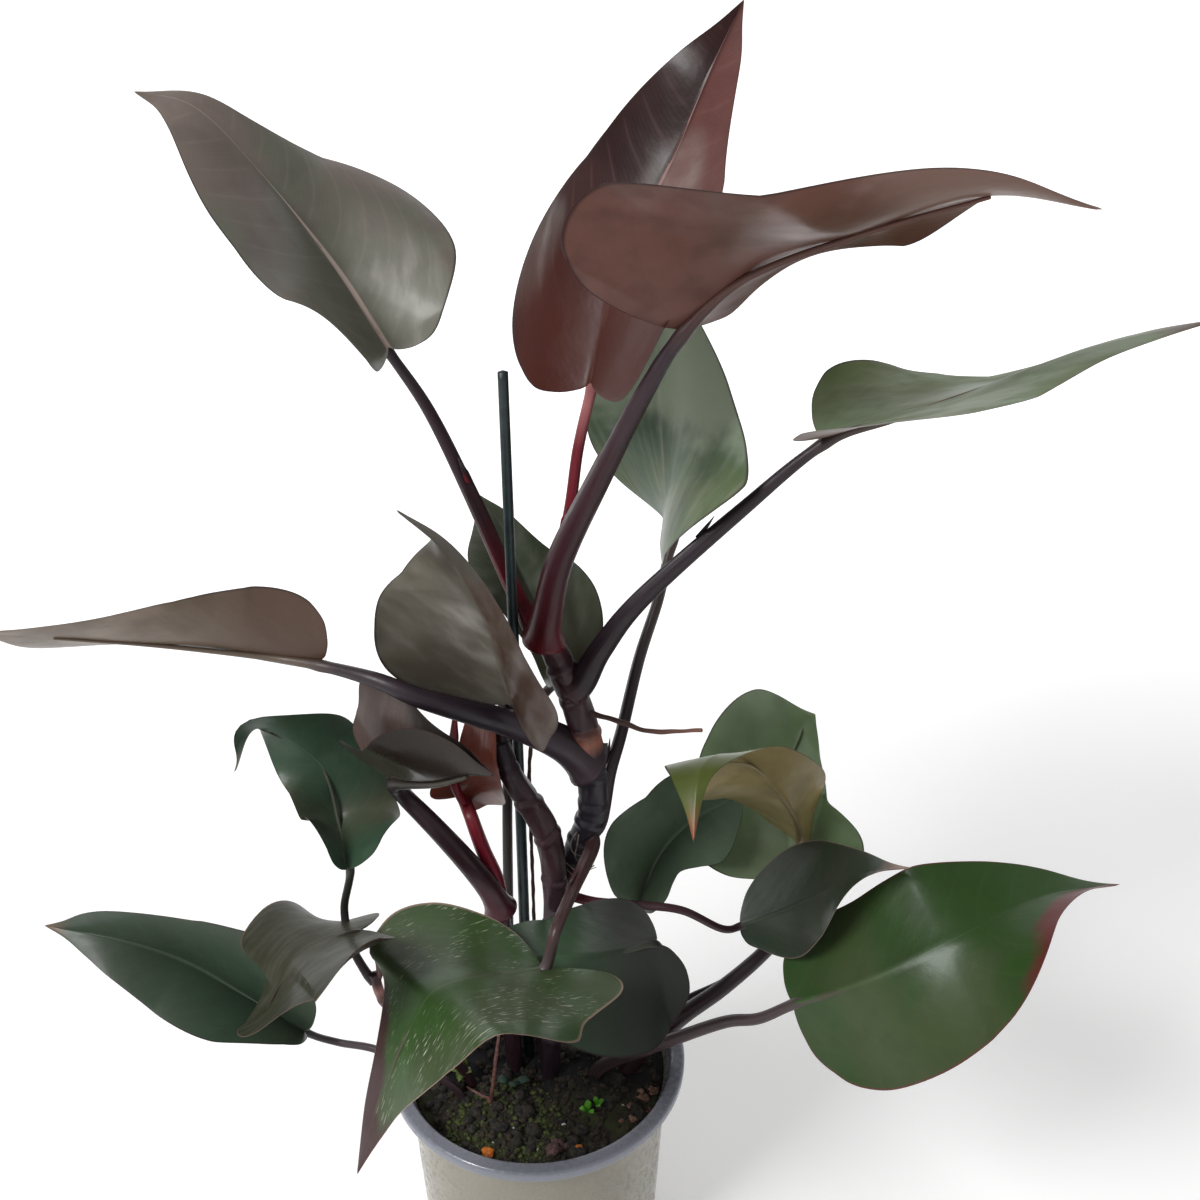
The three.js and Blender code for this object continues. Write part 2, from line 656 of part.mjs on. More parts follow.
add('soil', toGeometry(cutBy(toSolid(soilGeometry), holes)), 0x2b2622, 0.95);

export default group;
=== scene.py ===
# Young climbing aroid in a tapered nursery pot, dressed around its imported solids.
# The shapes are written in the solids' millimetres and put into the meshes in metres.
import math

import bpy
import numpy as np
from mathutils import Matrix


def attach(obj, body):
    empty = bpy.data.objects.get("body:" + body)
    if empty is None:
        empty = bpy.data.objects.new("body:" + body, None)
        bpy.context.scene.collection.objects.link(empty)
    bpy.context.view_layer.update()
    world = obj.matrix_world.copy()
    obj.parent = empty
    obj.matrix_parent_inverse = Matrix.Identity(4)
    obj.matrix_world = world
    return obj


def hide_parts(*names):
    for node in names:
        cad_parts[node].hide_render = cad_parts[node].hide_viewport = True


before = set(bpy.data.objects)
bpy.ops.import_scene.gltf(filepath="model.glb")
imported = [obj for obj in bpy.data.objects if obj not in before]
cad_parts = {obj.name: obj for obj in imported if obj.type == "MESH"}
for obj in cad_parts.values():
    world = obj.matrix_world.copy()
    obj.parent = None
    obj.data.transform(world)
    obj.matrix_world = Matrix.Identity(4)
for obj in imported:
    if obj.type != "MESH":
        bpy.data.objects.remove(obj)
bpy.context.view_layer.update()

# The pot
# One thin moulded shell of taupe plastic with a grey, inward-rolled rim, closed at the foot.
# The foot stands on a low ring, and the wall is left as it leaves the mould.
MM = 0.001
POT_SIDES = 160
POT_FOOT_RADIUS = 69
POT_NECK_RADIUS = 75
POT_RIM_RADIUS = 85
POT_HEIGHT = 150
POT_WALL = 1.8
POT_FLOOR = 2.5
SOIL_TOP = 138
POT_TAUPE = (126, 121, 108)
POT_TAUPE_DARK = (117, 112, 99)
RIM_GREY = (116, 118, 128)


def paint(red, green, blue):
    """Linear colour of a screen colour: each share of 255 to the power 2.2."""
    return (*((np.array([red, green, blue]) / 255) ** 2.2), 1)


def add_node(tree, kind, inputs, **settings):
    """Adds a node, sets its properties, and links or sets its inputs."""
    node = tree.nodes.new(kind)
    for key, value in settings.items():
        setattr(node, key, value)
    for key, value in inputs.items():
        if isinstance(value, bpy.types.NodeSocket):
            tree.links.new(value, node.inputs[key])
        else:
            node.inputs[key].default_value = value
    return node


def calc(tree, operation, first, second=0.0):
    """One sum of two values."""
    return add_node(tree, "ShaderNodeMath", {0: first, 1: second}, operation=operation).outputs[0]


def rising(tree, value, low, high, top=1.0):
    """Smooth step: 0 below low, then rising to top at high. With low above high it falls instead."""
    inputs = {0: value, 1: low, 2: high, 3: 0.0, 4: top}
    return add_node(tree, "ShaderNodeMapRange", inputs, interpolation_type="SMOOTHSTEP").outputs[0]


def mixed(tree, share, first, second):
    """Colour between first and second by the share."""
    inputs = {0: share, 6: first, 7: second}
    return add_node(tree, "ShaderNodeMix", inputs, data_type="RGBA").outputs[2]


def grain(tree, where, scale, detail=3.0):
    """Cloudy random value from 0 to 1."""
    inputs = {"Vector": where, "Scale": scale, "Detail": detail}
    return add_node(tree, "ShaderNodeTexNoise", inputs).outputs[0]


def new_finish(name, roughness, coat=0.0, coat_roughness=0.2):
    """A material, ready for its own pattern. Returns it with its tree, its shader and the places."""
    material = bpy.data.materials.new(name)
    material.use_nodes = True
    tree = material.node_tree
    shader = tree.nodes["Principled BSDF"]
    shader.inputs["Roughness"].default_value = roughness
    shader.inputs["Coat Weight"].default_value = coat
    shader.inputs["Coat Roughness"].default_value = coat_roughness
    places = add_node(tree, "ShaderNodeTexCoord", {}).outputs["Object"]
    return material, tree, shader, places


def raise_grain(tree, shader, height, distance, strength=1.0):
    """Bump from a height value, in metres."""
    bump = add_node(tree, "ShaderNodeBump", {"Height": height, "Distance": distance, "Strength": strength})
    tree.links.new(bump.outputs[0], shader.inputs["Normal"])


def shell(rings, first_pole, last_pole, form=None, mark=None, material=0):
    """Closed skin: quads join each ring to the next, and fans join the end rings to the two poles. Each
    point carries its form, three values for the pattern, and its mark, one more."""
    rows, columns = rings.shape[:2]
    row, column = np.meshgrid(np.arange(rows - 1), np.arange(columns), indexing="ij")
    here = row * columns
    after = (column + 1) % columns
    corners = [here + column, here + after, here + columns + after, here + columns + column]
    around = np.arange(columns)
    onward = (around + 1) % columns
    pole = np.full(columns, rows * columns)
    last = (rows - 1) * columns
    fans = [np.stack([pole, onward, around], -1), np.stack([pole + 1, last + around, last + onward], -1)]
    blank = np.zeros((rows, columns, 3))
    form = blank if form is None else np.broadcast_to(form, blank.shape)
    mark = blank[..., 0] if mark is None else np.broadcast_to(mark, blank.shape[:2])
    return {
        "points": np.vstack([rings.reshape(-1, 3), first_pole, last_pole]),
        "quads": np.stack(corners, -1).reshape(-1, 4),
        "fans": np.vstack(fans),
        "form": np.vstack([form.reshape(-1, 3), form[0].mean(0), form[-1].mean(0)]),
        "mark": np.append(mark.ravel(), [mark[0].mean(), mark[-1].mean()]),
        "material": material,
    }


def add_piece(name, skins, finishes, slot, *nodes):
    """One object made of closed skins, which rides on the plant's body and stands for the named solids."""
    starts = np.cumsum([0] + [len(skin["points"]) for skin in skins])
    faces = []
    numbers = []
    for skin, start in zip(skins, starts):
        faces += (skin["quads"] + start).tolist() + (skin["fans"] + start).tolist()
        numbers += [skin["material"]] * (len(skin["quads"]) + len(skin["fans"]))
    mesh = bpy.data.meshes.new(name)
    mesh.from_pydata((np.vstack([skin["points"] for skin in skins]) * MM).tolist(), [], faces)
    mesh.polygons.foreach_set("material_index", numbers)
    mesh.polygons.foreach_set("use_smooth", np.ones(len(faces), bool))
    form = mesh.attributes.new("form", "FLOAT_VECTOR", "POINT")
    form.data.foreach_set("vector", np.vstack([skin["form"] for skin in skins]).ravel())
    mark = mesh.attributes.new("mark", "FLOAT", "POINT")
    mark.data.foreach_set("value", np.concatenate([skin["mark"] for skin in skins]))
    for finish in finishes:
        mesh.materials.append(finish)
    piece = bpy.data.objects.new(name, mesh)
    bpy.context.scene.collection.objects.link(piece)
    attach(piece, "root")
    if nodes:
        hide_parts(*nodes)
    return piece


def turned(profile, sides):
    """Rings of a profile turned about the upright axis: radius times cosine, radius times sine, height."""
    angle = np.linspace(0, 2 * np.pi, sides, endpoint=False)
    radius, height = np.array(profile, float).T
    ring = np.stack([np.cos(angle), np.sin(angle), np.zeros(sides)], -1)
    return radius[:, None, None] * ring + height[:, None, None] * [0, 0, 1]


def arc(centre, radius, start, end, count):
    """Points on an arc of a profile, between two angles in degrees."""
    angle = np.radians(np.linspace(start, end, count))
    return [(centre[0] + radius * math.cos(a), centre[1] + radius * math.sin(a)) for a in angle]


RIM_ROUND = 2.2
wall_line = [(POT_FOOT_RADIUS + share * (POT_NECK_RADIUS - POT_FOOT_RADIUS), 3 + share * (SOIL_TOP - 3))
             for share in np.linspace(0, 1, 24)]
pot_profile = [
    (20, 1.2), (55, 1.2), (60, 0), (POT_FOOT_RADIUS - 2, 0), (POT_FOOT_RADIUS - 0.5, 0.8),
    *wall_line,
    (POT_NECK_RADIUS + 0.6, SOIL_TOP + 1.2), (POT_NECK_RADIUS + 3, SOIL_TOP + 3),
    (POT_RIM_RADIUS - 2, POT_HEIGHT - 7),
    *arc((POT_RIM_RADIUS - 1.5, POT_HEIGHT - 5.2), 1.5, -60, 0, 5),
    *arc((POT_RIM_RADIUS - RIM_ROUND, POT_HEIGHT - RIM_ROUND), RIM_ROUND, 0, 90, 9),
    *arc((POT_RIM_RADIUS - 6, POT_HEIGHT - RIM_ROUND), RIM_ROUND, 90, 180, 9),
    (POT_RIM_RADIUS - 8.3, POT_HEIGHT - 5), (POT_NECK_RADIUS - POT_WALL, SOIL_TOP),
    (POT_FOOT_RADIUS - POT_WALL, POT_FLOOR + 2), (40, POT_FLOOR),
]
pot_finish, tree, shader, places = new_finish("pot plastic", 0.5)
height_value = add_node(tree, "ShaderNodeSeparateXYZ", {0: places}).outputs[2]
cloud = rising(tree, grain(tree, places, 22), 0.35, 0.7)
wall_colour = mixed(tree, cloud, paint(*POT_TAUPE), paint(*POT_TAUPE_DARK))
on_rim = rising(tree, height_value, (SOIL_TOP + 1.5) * MM, (SOIL_TOP + 3.5) * MM)
tree.links.new(mixed(tree, on_rim, wall_colour, paint(*RIM_GREY)), shader.inputs["Base Color"])
tree.links.new(rising(tree, grain(tree, places, 300), 0.2, 0.9, 0.62), shader.inputs["Roughness"])
pot_skin = shell(turned(pot_profile, POT_SIDES), [0, 0, 1.2], [0, 0, POT_FLOOR])
add_piece("pot", [pot_skin], [pot_finish], "pot", "pot")

# The soil
# Dark wet peat mix that fills the pot to a little under the rim, lumpy on top, mossy towards the front,
# with painted shade in near black over its back.
# Loose crumbs and clumps, bark chips and a few white perlite grains lie on it.
SOIL_BUMP = 1.6
SOIL_SIDES = 240
# Near black with a blue tint: the colour of black clumps, and the painted shade at the back of the soil.
SOIL_BLACK_AND_SHADE = (24, 24, 29)
SOIL_DARK = (33, 30, 27)
SOIL_BROWN = (64, 54, 43)
MOSS = (60, 64, 36)


def lumps(x, y, size, seed):
    """Smooth random heights from -1 to 1: random values on a square grid of that size, blended between."""
    table = np.random.default_rng(seed).uniform(-1, 1, (64, 64))
    across = x / size + 100
    deep = y / size + 100
    column = np.floor(across).astype(int)
    row = np.floor(deep).astype(int)
    across = (across - column) ** 2 * (3 - 2 * (across - column))
    deep = (deep - row) ** 2 * (3 - 2 * (deep - row))
    near = table[column % 64, row % 64] * (1 - across) + table[(column + 1) % 64, row % 64] * across
    row = row + 1
    far = table[column % 64, row % 64] * (1 - across) + table[(column + 1) % 64, row % 64] * across
    return near * (1 - deep) + far * deep


def soil_height(x, y):
    """Height of the soil: a long wave, with random lumps of three sizes on it."""
    wave = SOIL_BUMP * np.sin(x / 9 + 1) * np.cos(y / 11)
    small = 0.7 * lumps(x, y, 3.5, 2) + 0.4 * lumps(x, y, 1.4, 3)
    return SOIL_TOP + 0.7 * wave + 1.1 * lumps(x, y, 9, 1) + small


soil_edge = POT_NECK_RADIUS - POT_WALL - 0.6
soil_rings = turned([(POT_FOOT_RADIUS - POT_WALL - 0.6, POT_FLOOR + 1), (soil_edge, SOIL_TOP - 3)]
                    + [(radius, SOIL_TOP) for radius in np.linspace(soil_edge, 1, 66)], SOIL_SIDES)
soil_rings[2:, :, 2] = soil_height(soil_rings[2:, :, 0], soil_rings[2:, :, 1])
soil_finish, tree, shader, places = new_finish("peat", 0.95)
cloud = rising(tree, grain(tree, places, 60, 5), 0.45, 0.65)
fine_cloud = rising(tree, grain(tree, places, 900, 4), 0.4, 0.7)
peat = mixed(tree, fine_cloud, paint(*SOIL_DARK), paint(*SOIL_BROWN))
mossy = mixed(tree, cloud, peat, paint(*MOSS))
# Painted shade: behind a wavy line near the middle, the soil is coloured near black over the peat and moss.
deep_value = add_node(tree, "ShaderNodeSeparateXYZ", {0: places}).outputs[1]
uneven = calc(tree, "ADD", deep_value, calc(tree, "MULTIPLY", grain(tree, places, 60), 0.03))
front = rising(tree, uneven, 0.012, -0.018)
tree.links.new(mixed(tree, front, paint(*SOIL_BLACK_AND_SHADE), mossy), shader.inputs["Base Color"])
raise_grain(tree, shader, grain(tree, places, 1500, 5), 0.001)
soil_skin = shell(soil_rings, [0, 0, POT_FLOOR + 1], [0, 0, soil_height(0.0, 0.0)])
add_piece("soil", [soil_skin], [soil_finish], "soil", "soil")


def scattered(count, seed, size, flat, middle=(0, 0), spread=70):
    """Rough pebbles on the soil: each a ball of four rings of six, swollen, flattened and turned at random.
    They lie at random round a middle, as far out as the spread, and those past the edge are drawn in."""
    random = np.random.default_rng(seed)
    rise = np.radians([-50, -15, 20, 55])
    angle = np.radians(np.arange(0, 360, 60))
    ball = np.stack([np.cos(rise)[:, None] * np.cos(angle), np.cos(rise)[:, None] * np.sin(angle),
                     np.sin(rise)[:, None] * np.ones(6)], -1)
    rings = ball * random.uniform(0.75, 1.2, (count, 4, 6, 1)) * [1, 1, flat]
    scale = size * random.uniform(0.45, 1.3, count)
    turn = random.uniform(0, 2 * np.pi, count)
    stretch = random.uniform(0.8, 1.6, count)
    x = rings[..., 0] * stretch[:, None, None]
    y = rings[..., 1]
    cos = np.cos(turn)[:, None, None]
    sin = np.sin(turn)[:, None, None]
    rings = np.stack([x * cos - y * sin, x * sin + y * cos, rings[..., 2]], -1)
    rings = rings * scale[:, None, None, None]
    reach = np.sqrt(random.uniform(0, 1, count)) * spread
    way = random.uniform(0, 2 * np.pi, count)
    x = middle[0] + reach * np.cos(way)
    y = middle[1] + reach * np.sin(way)
    inward = np.minimum(1, (soil_edge - 2) / np.hypot(x, y))
    x = x * inward
    y = y * inward
    rings += np.stack([x, y, soil_height(x, y) + 0.2 * scale], -1)[:, None, None]
    return [shell(ring, ring[0].mean(0), ring[-1].mean(0) + [0, 0, 0.1 * size]) for ring in rings]


def plain_finish(name, dark, light, roughness, scale=500):
    """Two shades in grains of one scale."""
    material, tree, shader, places = new_finish(name, roughness)
    cloud = rising(tree, grain(tree, places, scale, 4), 0.35, 0.65)
    tree.links.new(mixed(tree, cloud, paint(*dark), paint(*light)), shader.inputs["Base Color"])
    raise_grain(tree, shader, grain(tree, places, 3 * scale, 3), 0.0003)
    return material


crumb_finish = plain_finish("crumbs", SOIL_DARK, SOIL_BROWN, 0.95)
clump_finish = plain_finish("clumps", SOIL_BLACK_AND_SHADE, (58, 52, 42), 0.9)
moss_finish = plain_finish("moss", (38, 44, 22), (78, 88, 44), 0.9)
perlite_finish = plain_finish("perlite", (150, 148, 140), (200, 198, 190), 0.8)
bark_finish = plain_finish("bark", (92, 66, 54), (140, 108, 92), 0.85)
clod_finish = plain_finish("dead bark", (70, 50, 50), (104, 80, 78), 0.9)
amber_finish = plain_finish("fertiliser grains", (176, 84, 20), (214, 128, 40), 0.6)
add_piece("soil_crumbs", scattered(700, 11, 1.7, 0.7), [crumb_finish], "soil")
add_piece("soil_clumps", scattered(150, 15, 3.4, 0.6), [clump_finish], "soil")
add_piece("moss", scattered(420, 12, 1.4, 0.55, (-18, -44), 34), [moss_finish], "soil")
add_piece("perlite", scattered(26, 13, 0.8, 0.8), [perlite_finish], "soil")
add_piece("bark_chips", scattered(16, 14, 2.2, 0.5, (58, -30), 16), [bark_finish], "soil")
add_piece("brown_clump", scattered(7, 16, 3.6, 0.6, (13, -60), 6), [clod_finish], "soil")
amber = scattered(2, 17, 3.2, 0.6, (-26, -62), 2) + scattered(3, 18, 3, 0.8, (24, -61), 2)
add_piece("amber_grains", amber, [amber_finish], "soil")

# The support stick
# A thin plastic-coated steel rod, pushed down through the soil beside the stems.
# Its top is cut off square and a little rounded.
STICK_TEAL = (30, 45, 46)
STICK_TEAL_DARK = (22, 34, 36)


def curve(points, parts):
    """Smooth curve: each span is the cubic whose slope at a point is half the way between the next two."""
    points = np.asarray(points, float)
    spans = len(points) - 1
    place = np.clip(parts, 0, 1) * spans
    first = np.minimum(place.astype(int), spans - 1)
    part = (place - first)[..., None]
    ends = np.vstack([2 * points[0] - points[1], points, 2 * points[-1] - points[-2]])
    a, b, c, d = (ends[first + step] for step in range(4))
    return 0.5 * (2 * b + (c - a) * part + (2 * a - 5 * b + 4 * c - d) * part**2
                  + (3 * b - a - 3 * c + d) * part**3)


def even_path(points, count):
    """Evenly spaced places on the curve, with the way it runs, the distance and the curve's parameter."""
    fine = np.linspace(0, 1, 1500)
    steps = np.linalg.norm(np.diff(curve(points, fine), axis=0), axis=1)
    reach = np.append(0, np.cumsum(steps))
    distance = np.linspace(0, reach[-1], count)
    parameter = np.interp(distance, reach, fine)
    places = curve(points, parameter)
    along = np.gradient(places, axis=0)
    return places, along / np.linalg.norm(along, axis=1)[:, None], distance, parameter


def carried(along, facing):
    """The facing direction carried along a path: at each step what points along the path is taken out."""
    normals = []
    normal = np.array(facing, float)
    for way in along:
        normal = normal - normal @ way * way
        normal = normal / np.linalg.norm(normal)
        normals.append(normal)
    return np.array(normals)


def rod(points, radii, facing=(0.3, -1, 0.2), sides=20, step=2.0, relief=None, material=0):
    """Round rod on a smooth path: place plus radius times cosine and sine of two directions across the path.
    Its form holds the cosine, the sine and the distance in metres, and its mark the curve's parameter."""
    length = even_path(points, 2)[2][-1]
    places, along, distance, parameter = even_path(points, max(8, int(length / step)))
    out = carried(along, facing)
    aside = np.cross(along, out)
    angle = np.linspace(0, 2 * np.pi, sides, endpoint=False)
    radius = np.interp(parameter, np.linspace(0, 1, len(radii)), radii)[:, None] * np.ones(sides)
    if relief:
        radius = radius * relief(distance[:, None], angle[None])
    across = np.cos(angle)[None, :, None] * out[:, None] + np.sin(angle)[None, :, None] * aside[:, None]
    rings = places[:, None] + radius[..., None] * across
    form = np.stack(np.broadcast_arrays(np.cos(angle), np.sin(angle), distance[:, None] * MM), -1)
    ends = places[0] - 0.4 * radius[0, 0] * along[0], places[-1] + 0.4 * radius[-1, 0] * along[-1]
    return shell(rings, *ends, form, np.broadcast_to(parameter[:, None], radius.shape), material)


stick_finish = plain_finish("coated steel", STICK_TEAL_DARK, STICK_TEAL, 0.45, 120)
stick_points = [(-6, 8, 112), (-6, 8, 330), (-7, 8, 554)]
stick = rod(stick_points, [3.2, 2.8, 2.4], step=4)
add_piece("support_stick", [stick], [stick_finish], "stick", "support_stick")

# The stems
# Four fleshy climbing stems in one pot, dark purple with a reddish blush where they are young.
# A raised ring and a fine groove are left wherever a leaf stalk clasps or clasped the stem.
STEM_NAVY = (38, 34, 42)
STEM_PURPLE = (58, 38, 44)
STEM_RED = (76, 32, 38)
STEM_BLUSH = (146, 92, 74)


def banded(tree, value, stops):
    """Colours at places between 0 and 1, blended in between."""
    ramp = add_node(tree, "ShaderNodeValToRGB", {0: value})
    elements = ramp.color_ramp.elements
    for element, stop in ((elements[0], stops[0]), (elements[1], stops[-1])):
        element.position = stop[0]
        element.color = paint(*stop[1])
    for place, colour in stops[1:-1]:
        elements.new(place).color = paint(*colour)
    return ramp.outputs[0]


def stalk_finish(name, stops, roughness=0.4, coat=0.1, streaks=0.5):
    """Skin of a stem or leaf stalk: colours along its length, darkened in long streaks around it."""
    material, tree, shader, places = new_finish(name, roughness, coat, 0.25)
    form = add_node(tree, "ShaderNodeAttribute", {}, attribute_name="form").outputs["Vector"]
    along = add_node(tree, "ShaderNodeAttribute", {}, attribute_name="mark").outputs["Fac"]
    shader.inputs["Specular IOR Level"].default_value = 0.3
    stretched = add_node(tree, "ShaderNodeMapping", {"Vector": form, "Scale": (1, 1, 9)}).outputs[0]
    streak = rising(tree, grain(tree, stretched, 2.2, 3), 0.4, 0.7, streaks)
    colour = banded(tree, along, stops)
    darker = add_node(tree, "ShaderNodeHueSaturation", {"Value": 0.5, "Color": colour}).outputs[0]
    tree.links.new(mixed(tree, streak, colour, darker), shader.inputs["Base Color"])
    worn = rising(tree, grain(tree, places, 120), 0.2, 0.8, 0.2)
    tree.links.new(calc(tree, "ADD", worn, roughness - 0.08), shader.inputs["Roughness"])
    raise_grain(tree, shader, grain(tree, stretched, 7, 3), 0.00016)
    return material


def ringed(marks):
    """Relief of a stem: at each marked distance a slanted bell-shaped swelling of its own size, a groove
    after it, and soft corners from two sines."""
    def relief(distance, angle):
        swell = 1 + 0.04 * np.sin(3 * angle + distance / 9) + 0.03 * np.sin(5 * angle - distance / 5)
        for number, mark in enumerate(marks):
            slant = distance - mark + 1.6 * np.sin(angle + 2.4 * number)
            bell = np.exp(-((slant / (1.6 + 0.4 * (number % 3))) ** 2))
            groove = np.exp(-(((slant - 3.4) / 0.9) ** 2))
            swell = swell + (0.07 + 0.03 * (number % 3)) * bell - 0.07 * groove
        return swell
    return relief


def add_stem(name, points, radii, marks, stops):
    """A stem from below the soil to its growing end."""
    finish = stalk_finish(name, stops)
    skin = rod(points, radii, sides=40, step=0.8, relief=ringed(marks))
    add_piece(name, [skin], [finish], "stem", name)


add_stem(
    "stem_main",
    points=[[4, 8, 112], [5, 8, 142], [14, 7, 252], [21, 4, 284], [31, 0, 318], [32, 0, 346], [26, 0, 380],
            [17, 0, 408], [8, 0, 430]],
    radii=[6, 6, 6, 6.5, 7.5, 7.5, 7.5, 7.2, 6],
    marks=[60, 118, 152, 176, 192, 205, 218, 234, 262, 283, 300, 316],
    stops=[(0, STEM_PURPLE), (0.3, STEM_PURPLE), (0.42, STEM_NAVY), (0.62, STEM_NAVY), (0.67, STEM_PURPLE),
           (0.695, STEM_BLUSH), (0.73, STEM_PURPLE), (0.9, STEM_PURPLE), (0.97, STEM_RED), (1, STEM_RED)],
)
add_stem(
    "stem_second",
    points=[[6, -6, 112], [7, -6, 142], [11, -7, 250], [12, -8, 286], [8, -8, 314], [-1, -7, 333],
            [-10, -5, 350], [-14, -1, 364]],
    radii=[5.8, 5.8, 6, 6.6, 7, 6.6, 5.6, 4.4],
    marks=[54, 96, 140, 171, 199, 222, 243],
    stops=[(0, STEM_NAVY), (0.5, STEM_PURPLE), (0.7, STEM_PURPLE), (1, STEM_NAVY)],
)
add_stem(
    "stem_third",
    points=[[-14, 0, 112], [-14, 0, 142], [-17, 0, 230], [-18, 0, 262]],
    radii=[5, 5, 5, 4.5],
    marks=[58, 104, 128],
    stops=[(0, STEM_NAVY), (0.6, STEM_PURPLE), (1, STEM_PURPLE)],
)
add_stem(
    "stem_left",
    points=[[-34, -13, 112], [-40, -15, 146], [-58, -25, 184], [-77, -37, 222], [-83, -34, 241]],
    radii=[2.8, 2.8, 2.6, 2.6, 2.8],
    marks=[52, 88, 126],
    stops=[(0, STEM_PURPLE), (0.5, STEM_PURPLE), (0.8, (86, 62, 60)), (0.86, (170, 120, 114)),
           (0.92, (84, 54, 54)), (1, STEM_PURPLE)],
)

# The leaves of the main stem
# Each is one grown piece: a channelled stalk that runs on as the midrib under a thin glossy blade.
# The blade's side veins are pressed in on top and stand up below, and its margin is thin and dark.
BLADE_THICKNESS = 0.9
BLADE_ROWS = 96
HALF_COLUMNS = 22
MIDRIB_STEPS = 121
MIDRIB_CROWDING = 1.35
RIDGE_HEIGHT = 0.2
WAVE_HEIGHT = 0.5
VEIN_SLANT = 0.10
VEIN_BOW = 0.20
RIB_STATIONS = np.array([0, 0.2, 0.5, 0.78])
RIB_SHARES = np.array([1, 0.55, 0.4, 0.25])
VEINS = 10
VEIN_SHARE = 0.05
STALK_PURPLE = (56, 38, 42)
STALK_DARK = (42, 32, 38)
STALK_CRIMSON = (108, 22, 36)
LOBE_OUTLINE = np.array([[0, 0], [-0.55, 0.10], [-1.0, 0.32], [-0.85, 0.58]])
SIDE_OUTLINE = np.array([[0.03, 0.82], [0.15, 0.97], [0.28, 1.0], [0.42, 0.93], [0.56, 0.78], [0.70, 0.56],
                         [0.82, 0.32], [0.91, 0.13], [1.0, 0.0]])


def smooth_step(value, low, high):
    """0 below low, 1 above high, and a smooth cubic between."""
    share = np.clip((value - low) / (high - low), 0, 1)
    return share * share * (3 - 2 * share)


def blade(midrib, face, twist, width, lobe, belly, lift, curl):
    """A heart-shaped blade. A point goes along the midrib, then out on an arc that starts at the lift angle
    and bends by the curl; its rows run from the midrib out to the outline. The belly makes the outline
    fuller by that share times the sine of a whole turn over its length. The skin's form holds how far a
    point is along, how far out (less than 0 on the left half) and its share of the way to the margin; its
    mark is 0 above and 1 beneath. Returns the skin and the frames."""
    centres, along, distance, _ = even_path(midrib, MIDRIB_STEPS)
    share = np.linspace(0, 1, MIDRIB_STEPS)
    normal = carried(along, face)
    aside = np.cross(along, normal)
    turn = np.radians(np.interp(share, [0, 0.5, 1], [0, *twist]))[:, None]
    up = normal * np.cos(turn) + aside * np.sin(turn)
    right = aside * np.cos(turn) - normal * np.sin(turn)
    length = distance[-1]

    def read(table, place):
        return np.stack([np.interp(place, share, column) for column in table.T], -1)

    def point(x, out, side):
        inner = np.clip(x, 0, 1)
        start = np.radians(np.interp(inner, [0, 0.5, 1], lift[side]))
        bend = np.radians(np.interp(inner, [0, 0.5, 1], curl[side])) + 1e-4
        sideways = width[side] * (np.sin(start + bend * out) - np.sin(start)) / bend
        upward = width[side] * (np.cos(start) - np.cos(start + bend * out)) / bend
        upward = upward + WAVE_HEIGHT * out**2 * np.sin(2 * np.pi * 2.3 * x + 2 * side)
        behind = (np.minimum(x, 0) * length)[..., None] * along[0]
        way = read(right, inner) * (1 if side else -1)
        aloft = read(up, inner) * upward[..., None]
        return read(centres, inner) + behind + way * sideways[..., None] + aloft

    row = np.linspace(0, 1, BLADE_ROWS + 2)[1:-1, None]
    reach = np.sin(np.linspace(0, np.pi / 2, HALF_COLUMNS + 1))[None]
    halves = []
    for side in (0, 1):
        fullness = 1 + belly[side] * np.sin(2 * np.pi * SIDE_OUTLINE[:, 0])
        flank = np.stack([SIDE_OUTLINE[:, 0], SIDE_OUTLINE[:, 1] * fullness], -1)
        outline = curve(np.vstack([LOBE_OUTLINE * [lobe[side], 1], flank]), row)[:, 0]
        root = row**MIDRIB_CROWDING
        x = root + (outline[:, :1] - root) * reach
        out = outline[:, 1:] * reach
        halves.append((point(x, out, side), x, out, reach * np.ones_like(x)))
    left, right_half = halves
    spot, x, out, margin = (np.concatenate([a[:, :0:-1], b], 1) for a, b in zip(left, right_half))
    signed = out * np.where(np.arange(x.shape[1]) < HALF_COLUMNS, -1, 1)
    across = np.gradient(spot, axis=1)
    outward = np.cross(across, np.gradient(spot, axis=0))
    outward /= np.maximum(np.linalg.norm(outward, axis=2, keepdims=True), 1e-9)
    vein_place = (x - VEIN_SLANT * out - VEIN_BOW * out**2) * VEINS
    vein_gap = np.abs(vein_place - np.round(vein_place))
    fade = smooth_step(out, 0.04, 0.2) * (1 - smooth_step(margin, 0.8, 1))
    half_width = np.where(signed < 0, width[0], width[1])
    from_rib = out * half_width
    relief = -0.07 * fade * np.exp(-((vein_gap / 0.2) ** 2))
    relief = relief + RIDGE_HEIGHT * (1 - x) * np.exp(-((from_rib / 1.1) ** 2))
    relief = relief - 0.5 * RIDGE_HEIGHT * np.exp(-((from_rib - 2.4) ** 2)) * (1 - x)
    relief = relief * (1 - margin**8)
    thick = BLADE_THICKNESS / 2 * np.sqrt(1 - margin**2)
    top = spot + outward * (relief + thick)[..., None]
    bottom = spot + outward * (relief - thick)[..., None]
    form = np.stack([x, signed, margin], -1)
    rings = np.concatenate([top, bottom[:, -2:0:-1]], 1)
    form = np.concatenate([form, form[:, -2:0:-1]], 1)
    beneath = np.append(np.zeros(top.shape[1]), np.ones(bottom.shape[1] - 2))[None]
    end = np.zeros((1, 1))
    skin = shell(rings, point(end, end, 0)[0], point(end + 1, end, 0)[0], form, beneath)
    return skin, lambda place: (read(centres, place), read(up, place))


def grain_over(tree, value, places, scale, share):
    """A value made uneven by a cloudy one: the value plus the share times the cloud about its middle."""
    cloud = calc(tree, "SUBTRACT", grain(tree, places, scale, 4), 0.5)
    return calc(tree, "ADD", value, calc(tree, "MULTIPLY", cloud, share))


